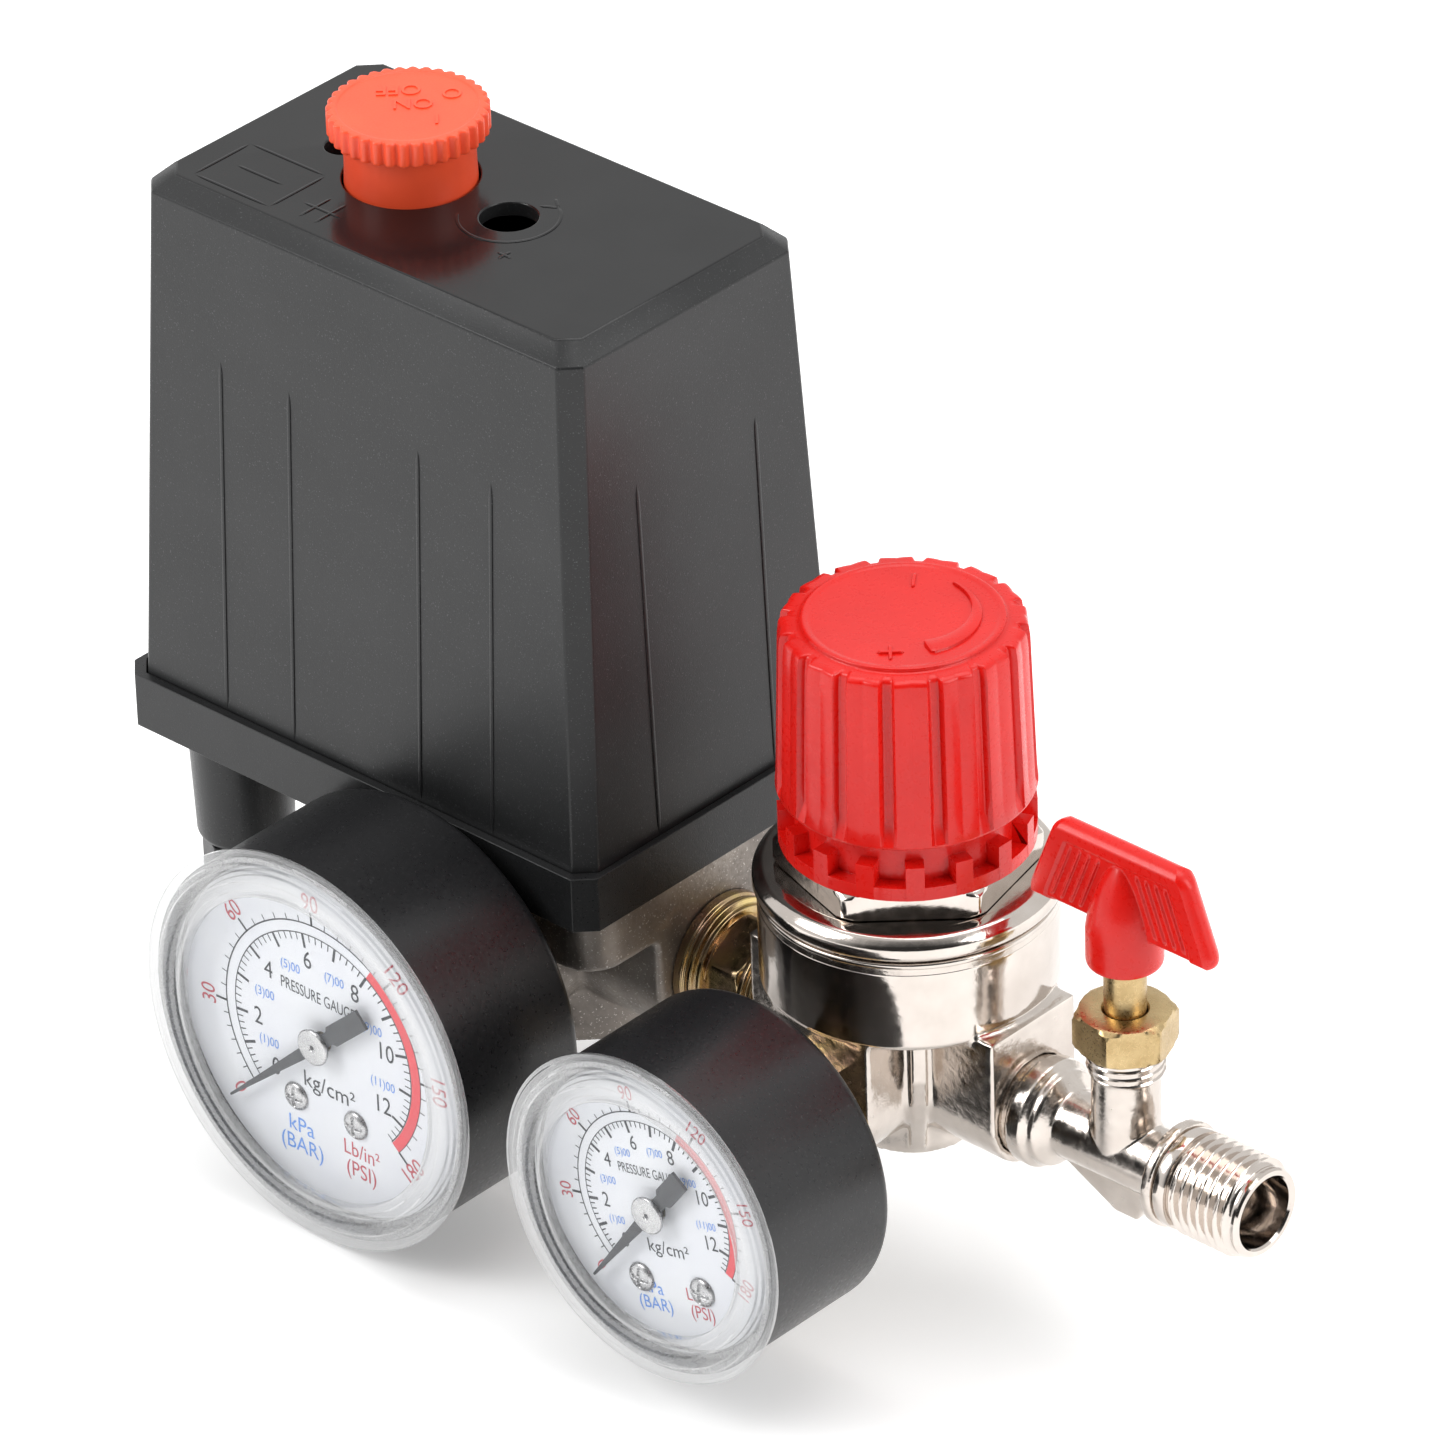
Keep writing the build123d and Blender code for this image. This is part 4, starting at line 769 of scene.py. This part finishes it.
def boss_thread(radius, along, angle):
    """The two turns of thread that show under the packing nut."""
    turn = (along / 1.1 - angle / (2 * np.pi)) % 1.0
    return np.where(radius > 4.9, radius - 0.45 * np.abs(2 * turn - 1), radius)


boss_outline = np.array([(4.2, 26.7)] + boss_rows + [(4.2, 30.25)])
build(
    "boss_thread", [turned(boss_outline, (tap_x, 0, 0), "z", 120, boss_thread)],
    nickel_smooth, "root", closed_rows=True,
)

# ======================= packing nut =======================
# A brass hexagon nut that squeezes the packing round the stem. Its top corners are turned off,
# and its sides keep the skin of the drawn bar.

packing_hex = hexagon(11.4, 30.0 - 20.0)


def packing_section(radius, along, angle):
    """The outline's own radius, held inside the hexagon."""
    return np.minimum(radius, packing_hex(angle))


packing_outline = np.array(
    [(4.85, 30.3), (5.9, 30.3), (6.35, 30.6), (6.6, 31.0), (6.6, 34.5), (6.3, 34.95),
     (5.75, 35.35), (5.4, 35.5), (3.0, 35.5), (2.78, 35.3), (2.78, 34.3), (4.85, 34.2)]
)
build(
    "packing_nut_hexagon", [turned(packing_outline, (tap_x, 0, 0), "z", 180, packing_section)],
    turned_brass, "root", ["packing_nut"], closed_rows=True, sharp=28.0,
)

# ======================= tap stem and handle =======================
# A brass needle stem, and a red plastic wing handle moulded on its top: thin ribs parallel to
# the slanting ends give grip, and a bell-shaped hub grows out of the wing.

nodes["tap_stem"].data.materials.clear()
nodes["tap_stem"].data.materials.append(turned_brass)

wing_foot = 46.7
wing_height = 12.4
foot_half = 15.1
top_half = 10.25
corner_r = 2.0
wing_half_thick = 1.55


def wing_grid(front):
    """Half of the wing as a height over its outline: a plate with a sunk field and ribs, or the hub."""
    share = np.sin(np.linspace(-np.pi / 2, np.pi / 2, 421))[None, :]
    up = (0.5 + 0.5 * np.sin(np.linspace(-np.pi / 2, np.pi / 2, 91)))[:, None]
    z = up * wing_height
    edge = np.minimum(z, wing_height - z)
    pulled_in = corner_r - np.sqrt(np.maximum(corner_r**2 - np.maximum(corner_r - edge, 0) ** 2, 0))
    half = foot_half + (top_half - foot_half) * up - pulled_in
    x = share * half
    rim = np.minimum(half - np.abs(x), edge)
    plate = wing_half_thick * np.clip(rim / 0.9, 0, 1) ** 0.5
    inset = half - np.abs(x)
    field = np.clip((inset - 2.8) / 0.5, 0, 1) * np.clip((wing_height - 2.2 - z) / 0.5, 0, 1)
    plate = plate - 0.32 * field
    for line in (4.0, 5.5, 7.0, 8.5):
        reach = np.clip((z - 1.4) / 0.5, 0, 1) * np.clip((wing_height - 3.0 - z) / 0.5, 0, 1)
        plate = plate + 0.34 * reach * np.exp(-(((inset - line) / 0.24) ** 4))
    bell = 4.8 * np.clip(1 - (up / 0.86) ** 1.6, 0, 1) ** 0.75
    hub = np.sqrt(np.maximum(bell**2 - x**2, 0))
    y = np.maximum(plate, hub)
    y = np.where(rim <= 1e-6, 0.0, y)
    sign = -1 if front else 1
    points = np.stack([tap_x + x + 0 * z, sign * y, wing_foot + z + 0 * x], axis=-1)
    return points * MM


def sheet_faces(rows, columns):
    """Quads of an open grid."""
    row, column = np.arange(rows - 1)[:, None], np.arange(columns - 1)[None, :]
    corner = row * columns + column
    return np.stack([corner, corner + 1, corner + columns + 1, corner + columns], axis=-1).reshape(-1, 4)


wing_front, wing_back = wing_grid(True), wing_grid(False)
wing_mesh = bpy.data.meshes.new("tap_wing")
wing_quads = sheet_faces(*wing_front.shape[:2])
wing_mesh.from_pydata(
    np.concatenate([wing_front.reshape(-1, 3), wing_back.reshape(-1, 3)]).tolist(),
    [],
    np.concatenate([wing_quads, wing_quads[:, ::-1] + wing_front.shape[0] * wing_front.shape[1]]).tolist(),
)
work = bmesh.new()
work.from_mesh(wing_mesh)
bmesh.ops.remove_doubles(work, verts=work.verts, dist=2e-6)
bmesh.ops.recalc_face_normals(work, faces=work.faces)
work.to_mesh(wing_mesh)
work.free()
settle("tap_wing", wing_mesh, red_plastic, "tap_stem", ["tap_handle"], sharp=50.0)
hub_outline = rounded(
    [(0, 46.2), (2.7, 46.2), (2.7, 42.3), (4.6, 42.3), (4.8, 42.8), (4.8, 47.0), (4.3, 48.2), (0, 48.3)],
    0.3,
)
build("tap_hub", [turned(hub_outline, (tap_x, 0, 0), sides=96)], red_plastic, "tap_stem")

# ======================= pressure gauges =======================
# Each gauge is a drawn steel case in satin black enamel with a clear plastic cap pressed on its
# front. Behind the cap: a printed white dial on two screws, and a pointer on a brass movement.

black_enamel = finish(
    "black_enamel", (0.012, 0.012, 0.013), (0.008, 0.008, 0.009), 10.0, (0.26, 0.38), 0.5, 0.012,
    spots=((0.035, 0.035, 0.037), 0.68, 0.3),
)
dial_enamel = finish("dial_enamel", (0.86, 0.88, 0.91), (0.81, 0.83, 0.88), 9.0, (0.3, 0.42), 0.6, 0.004)
pointer_paint = finish(
    "pointer_paint", (0.055, 0.06, 0.068), (0.04, 0.044, 0.05), 3.0, (0.3, 0.45), 0.4, 0.005,
)
black_ink = finish("black_ink", (0.03, 0.035, 0.045), (0.05, 0.055, 0.065), 1.5, (0.45, 0.6), 0.3, 0.002)
red_ink = finish("red_ink", (0.62, 0.09, 0.12), (0.55, 0.12, 0.15), 1.5, (0.45, 0.6), 0.3, 0.002)
band_ink = finish("band_ink", (0.86, 0.07, 0.09), (0.80, 0.09, 0.11), 2.5, (0.4, 0.55), 0.3, 0.002)
blue_ink = finish("blue_ink", (0.10, 0.30, 0.85), (0.16, 0.36, 0.86), 1.5, (0.45, 0.6), 0.3, 0.002)


def clear_finish(name, haze, rough, tint, start, most):
    """Clear moulding: mostly see-through, a mirror where it is seen at a slant, and a little haze."""
    material = bpy.data.materials.new(name)
    material.use_nodes = True
    tree = material.node_tree
    shader = tree.nodes["Principled BSDF"]
    output = tree.nodes["Material Output"]
    through = tree.nodes.new("ShaderNodeBsdfTransparent")
    through.inputs["Color"].default_value = (tint, tint, tint, 1)
    mirror = tree.nodes.new("ShaderNodeBsdfGlossy")
    mirror.inputs["Roughness"].default_value = rough
    slant = tree.nodes.new("ShaderNodeLayerWeight")
    slant.inputs["Blend"].default_value = 0.5
    shine = tree.nodes.new("ShaderNodeMapRange")
    shine.interpolation_type = "SMOOTHSTEP"
    shine.inputs["From Min"].default_value = start
    shine.inputs["From Max"].default_value = 1.0
    shine.inputs["To Min"].default_value = 0.03
    shine.inputs["To Max"].default_value = most
    gloss = tree.nodes.new("ShaderNodeMixShader")
    misty = tree.nodes.new("ShaderNodeMixShader")
    place = tree.nodes.new("ShaderNodeTexCoord")
    field = tree.nodes.new("ShaderNodeTexNoise")
    field.inputs["Scale"].default_value = 250.0
    ranged = tree.nodes.new("ShaderNodeMapRange")
    ranged.inputs["To Min"].default_value = haze * 0.8
    ranged.inputs["To Max"].default_value = haze * 1.2
    shader.inputs["Base Color"].default_value = (0.80, 0.83, 0.86, 1)
    shader.inputs["Roughness"].default_value = 0.12
    tree.links.new(place.outputs["Object"], field.inputs["Vector"])
    tree.links.new(field.outputs["Fac"], ranged.inputs["Value"])
    tree.links.new(slant.outputs["Facing"], shine.inputs["Value"])
    tree.links.new(shine.outputs["Result"], gloss.inputs["Fac"])
    tree.links.new(through.outputs["BSDF"], gloss.inputs[1])
    tree.links.new(mirror.outputs["BSDF"], gloss.inputs[2])
    tree.links.new(ranged.outputs["Result"], misty.inputs["Fac"])
    tree.links.new(gloss.outputs["Shader"], misty.inputs[1])
    tree.links.new(shader.outputs["BSDF"], misty.inputs[2])
    tree.links.new(misty.outputs["Shader"], output.inputs["Surface"])
    return material


clear_window = clear_finish("clear_window", 0.008, 0.02, 0.985, 0.42, 0.7)
clear_rim = clear_finish("clear_rim", 0.04, 0.02, 0.88, 0.15, 0.95)
tinned_liner = finish(
    "tinned_liner", (0.46, 0.46, 0.46), (0.38, 0.38, 0.39), 4.0, (0.2, 0.34), 0.8, 0.006, metal=1.0,
)

full_scale = 180.0
psi_per_kg = 14.22
psi_per_bar = 14.5
mouth_wall = 0.8
case_wall = 2.0
cap_rim = 6.3
dial_drawn_r = 24.2
ink_depth = 3.87
dial_screw_across = 5.15
dial_screw_up = -10.3
dial_screw_r = 2.0
dial_screw_depth = 3.85


def scale_angle(psi, scale):
    """Where a pressure stands, in degrees anticlockwise from three o'clock. The first marks are closer."""
    zero, thirty, end = scale
    if psi < 30:
        return thirty + (30 - psi) * (zero - thirty) / 30
    return thirty - (psi - 30) * (thirty - end) / (full_scale - 30)


def sectors(angles, inner, outer, half_width):
    """Straight marks from an inner to an outer radius, one for each angle."""
    angle = np.radians(np.asarray(angles, float))[:, None]
    radius = np.array([[inner, outer, outer, inner]], float)
    across = np.array([[half_width, half_width, -half_width, -half_width]], float)
    x = radius * np.cos(angle) - across * np.sin(angle)
    up = radius * np.sin(angle) + across * np.cos(angle)
    points = np.stack([x, up], axis=-1).reshape(-1, 2)
    return points, np.arange(len(points)).reshape(-1, 4)


def band(start, end, inner, outer, steps=120):
    """A curved stripe between two radii."""
    angle = np.radians(np.linspace(start, end, steps))
    ring = np.stack([np.cos(angle), np.sin(angle)], axis=1)
    points = np.concatenate([ring * inner, ring * outer])
    k = np.arange(steps - 1)
    return points, np.stack([k, k + 1, k + 1 + steps, k + steps], axis=1)


def print_marks(name, marks, x, y, material):
    """Flat printed marks laid on the dial as one mesh, facing the front."""
    corners, faces, count = [], [], 0
    for points, quads in marks:
        corners.append(np.stack([x + points[:, 0], 0 * points[:, 0] + y, port_z + points[:, 1]], axis=1))
        faces.append(quads + count)
        count += len(points)
    mesh = bpy.data.meshes.new(name)
    mesh.from_pydata((np.concatenate(corners) * MM).tolist(), [], np.concatenate(faces).tolist())
    work = bmesh.new()
    work.from_mesh(mesh)
    for face in work.faces:
        face.normal_update()
        if face.normal.y > 0:
            face.normal_flip()
    work.to_mesh(mesh)
    work.free()
    return settle(name, mesh, material, "root")


def screw_head(x, y, up, radius):
    """A domed head with a cross recess: dome height less the cross's depth, as a function of place."""
    share = np.linspace(0, 1, 26)[:, None]
    angle = np.linspace(0, 2 * np.pi, 96, endpoint=False)[None, :]
    across, along = radius * share * np.cos(angle), radius * share * np.sin(angle)
    dome = 0.75 * np.sqrt(np.maximum(1 - share**2.6, 0))
    arm = np.minimum(np.abs(across), np.abs(along))
    cross = np.clip((0.3 - arm) / 0.14, 0, 1) * np.clip((0.74 * radius - radius * share) / 0.2, 0, 1)
    height = dome + 0 * angle - 0.42 * cross
    top = np.stack([x + across, y - height, up + along], axis=-1)
    under = np.stack([x + 0 * across[:1], y + 0 * height[:1], up + 0 * along[:1]], axis=-1)
    return np.concatenate([top, under]) * MM


def gauge_pieces(prefix, body, x, front, depth, lens_r, case_r, turn, scale):
    """Everything seen of one gauge. Depths run back from the cap's front edge."""
    mouth_r = case_r - mouth_wall
    inner_r = case_r - case_wall
    window_r = lens_r - cap_rim
    spread = inner_r / dial_drawn_r
    middle_line = (x, front, port_z)

    case_outline = np.concatenate(
        [
            rounded(
                [(inner_r, 3.95), (mouth_r, 3.95), (mouth_r, 1.45), (case_r, 1.45), (case_r, 2.5)], 0.12, 3
            ),
            rounded([(case_r, 3.0), (case_r, depth), (6.05, depth)], 1.5, 10),
            [(6.05, depth - 1.4), (inner_r, depth - 1.4)],
        ]
    )
    build(
        f"{prefix}_case_shell", [turned(case_outline, middle_line, "y", 240)], black_enamel, "root",
        [f"{prefix}_case"], closed_rows=True,
    )
    liner_outline = [
        (inner_r + 0.02, 3.94), (inner_r + 0.02, 3.8), (mouth_r - 0.12, 3.78), (mouth_r - 0.12, 1.38),
        (case_r - 0.2, 1.38), (case_r - 0.2, 1.44), (mouth_r - 0.02, 1.44), (mouth_r - 0.02, 3.94),
    ]
    build(
        f"{prefix}_mouth_liner", [turned(liner_outline, middle_line, "y", 240)], tinned_liner, "root",
        closed_rows=True,
    )

    rim_outline = np.concatenate(
        [
            rounded(
                [
                    (window_r, 1.5), (window_r, 0.5), (window_r + 0.35, 0.36), (window_r + 0.9, 0.42),
                    (window_r + 1.1, 0.2), (window_r + 2.1, 0.24), (window_r + 2.35, 0.02),
                    (window_r + 3.7, 0.0), (window_r + 3.95, 0.2), (window_r + 4.6, 0.14),
                    (window_r + 4.8, 0.4), (window_r + 5.6, 0.36), (window_r + 5.85, 0.7),
                    (lens_r, 0.8), (lens_r, 1.34), (lens_r - 0.4, 1.36),
                ],
                0.07, 3,
            ),
            rounded(
                [
                    (mouth_r - 0.16, 1.34), (mouth_r - 0.16, 3.72), (mouth_r - 1.1, 3.74),
                    (mouth_r - 1.15, 2.9), (mouth_r - 1.45, 2.8), (mouth_r - 1.5, 2.2),
                    (mouth_r - 1.95, 2.1), (mouth_r - 2.0, 1.7), (mouth_r - 3.0, 1.6),
                    (mouth_r - 3.2, 1.5), (window_r + 0.2, 1.5),
                ],
                0.07, 3,
            ),
        ]
    )
    build(
        f"{prefix}_cap_rim", [turned(rim_outline, middle_line, "y", 240)], clear_rim, "root",
        [f"{prefix}_lens"], closed_rows=True,
    )
    window_outline = [(0.0, 0.5), (window_r - 0.02, 0.52), (window_r - 0.02, 1.48), (0.0, 1.5)]
    build(
        f"{prefix}_cap_window", [turned(window_outline, middle_line, "y", 240)], clear_window, "root",
    )

    nodes[f"{prefix}_dial"].data.materials.clear()
    nodes[f"{prefix}_dial"].data.materials.append(dial_enamel)
    ink_y = front + ink_depth
    whole = (scale_angle(0, scale), scale_angle(full_scale, scale))
    kg_steps = np.arange(0, 12.61, 0.2)
    kg_fine = [k for k in kg_steps if abs(k - round(k)) > 0.01]

    def marks(pressures, inner, outer, half_width):
        angles = [scale_angle(p, scale) for p in pressures]
        return sectors(angles, inner * spread, outer * spread, half_width)

    lines = [
        band(*whole, 14.95 * spread, 15.1 * spread),
        band(*whole, 16.5 * spread, 16.7 * spread),
        marks(range(0, 181, 30), 16.6, 18.5, 0.16),
        marks(range(5, 180, 5), 16.6, 17.5, 0.07),
        marks([k * psi_per_kg for k in range(13)], 13.0, 15.0, 0.2),
        marks([k * psi_per_kg for k in kg_fine], 14.0, 15.0, 0.08),
    ]
    print_marks(f"{prefix}_scale_lines", lines, x, ink_y, black_ink)
    danger = band(scale_angle(8 * psi_per_kg, scale), whole[1], 15.15 * spread, 16.6 * spread)
    print_marks(f"{prefix}_red_band", [danger], x, ink_y - 0.01, band_ink)

    face = Matrix.Translation((x * MM, ink_y * MM, port_z * MM)) @ Matrix.Rotation(math.radians(90), 4, "X")

    def at(psi, radius):
        angle = math.radians(scale_angle(psi, scale))
        return radius * spread * math.cos(angle), radius * spread * math.sin(angle)

    def word(text, height, across, up, narrow=1.0):
        slant = math.radians(turn)
        return (
            text, height * spread, (across * math.cos(slant) - up * math.sin(slant)) * spread,
            (across * math.sin(slant) + up * math.cos(slant)) * spread, turn, narrow,
        )

    def outward(psi):
        angle = scale_angle(psi, scale)
        return angle - 90 if angle > -10 else angle + 90

    black_words = [
        (str(k), 2.6 * spread, *at(k * psi_per_kg, 11.2), turn, 0.85) for k in range(0, 13, 2)
    ]
    black_words += [word("PRESSURE GAUGE", 1.75, -0.5, 6.1, 0.66), word("kg/cm²", 2.4, 0.7, -6.9)]
    red_words = [(str(p), 2.5 * spread, *at(p, 19.7), outward(p), 0.85) for p in range(0, 181, 30)]
    red_words += [word("Lb/in²", 2.2, 5.8, -14.2, 0.9), word("(PSI)", 2.3, 5.6, -17.1, 0.9)]
    blue_words = [
        (f"({k})00", 1.35 * spread, *at(k * psi_per_bar, 10.3), turn, 0.85) for k in range(1, 12, 2)
    ]
    blue_words += [word("kPa", 2.3, -4.6, -14.6), word("(BAR)", 2.3, -4.6, -17.5, 0.95)]
    lettering(f"{prefix}_black_words", black_words, face, black_ink, "root")
    lettering(f"{prefix}_red_words", red_words, face, red_ink, "root")
    lettering(f"{prefix}_blue_words", blue_words, face, blue_ink, "root")

    nodes[f"{prefix}_pointer"].data.materials.clear()
    nodes[f"{prefix}_pointer"].data.materials.append(pointer_paint)
    hub = rounded(
        [(0, 2.34), (2.2, 2.34), (2.5, 2.2), (2.5, 1.95), (2.3, 1.8), (0.5, 1.76), (0.4, 1.9), (0, 1.92)],
        0.1, 4,
    )
    build(f"{prefix}_pointer_hub", [turned(hub, middle_line, "y", 64)], bright_steel, body)

    for node in ("pointer_arbor", "sector_gear", "movement", "bourdon_tube"):
        nodes[f"{prefix}_{node}"].data.materials.clear()
        nodes[f"{prefix}_{node}"].data.materials.append(turned_brass)
    nodes[f"{prefix}_socket"].data.materials.clear()
    nodes[f"{prefix}_socket"].data.materials.append(yellow_zinc)

    heads = []
    for side in (-1, 1):
        across, up = dial_screw_across * side, dial_screw_up
        slant = math.radians(turn)
        heads.append(
            screw_head(
                x + across * math.cos(slant) - up * math.sin(slant),
                front + dial_screw_depth,
                port_z + across * math.sin(slant) + up * math.cos(slant),
                dial_screw_r,
            )
        )
    return heads


tank_scale = (221.0, 183.0, -42.0)
outlet_scale = (232.0, 193.6, -21.8)
heads = gauge_pieces("tank_gauge", "tank_pointer", 0.0, -50.2, 22.7, 27.5, 26.4, 0.0, tank_scale)
heads += gauge_pieces("outlet_gauge", "outlet_pointer", reg_x, -50.6, 23.0, 22.2, 21.1, 12.0, outlet_scale)
build("dial_screw_heads", heads, bright_steel, "root", ["dial_screws"], sharp=50.0)
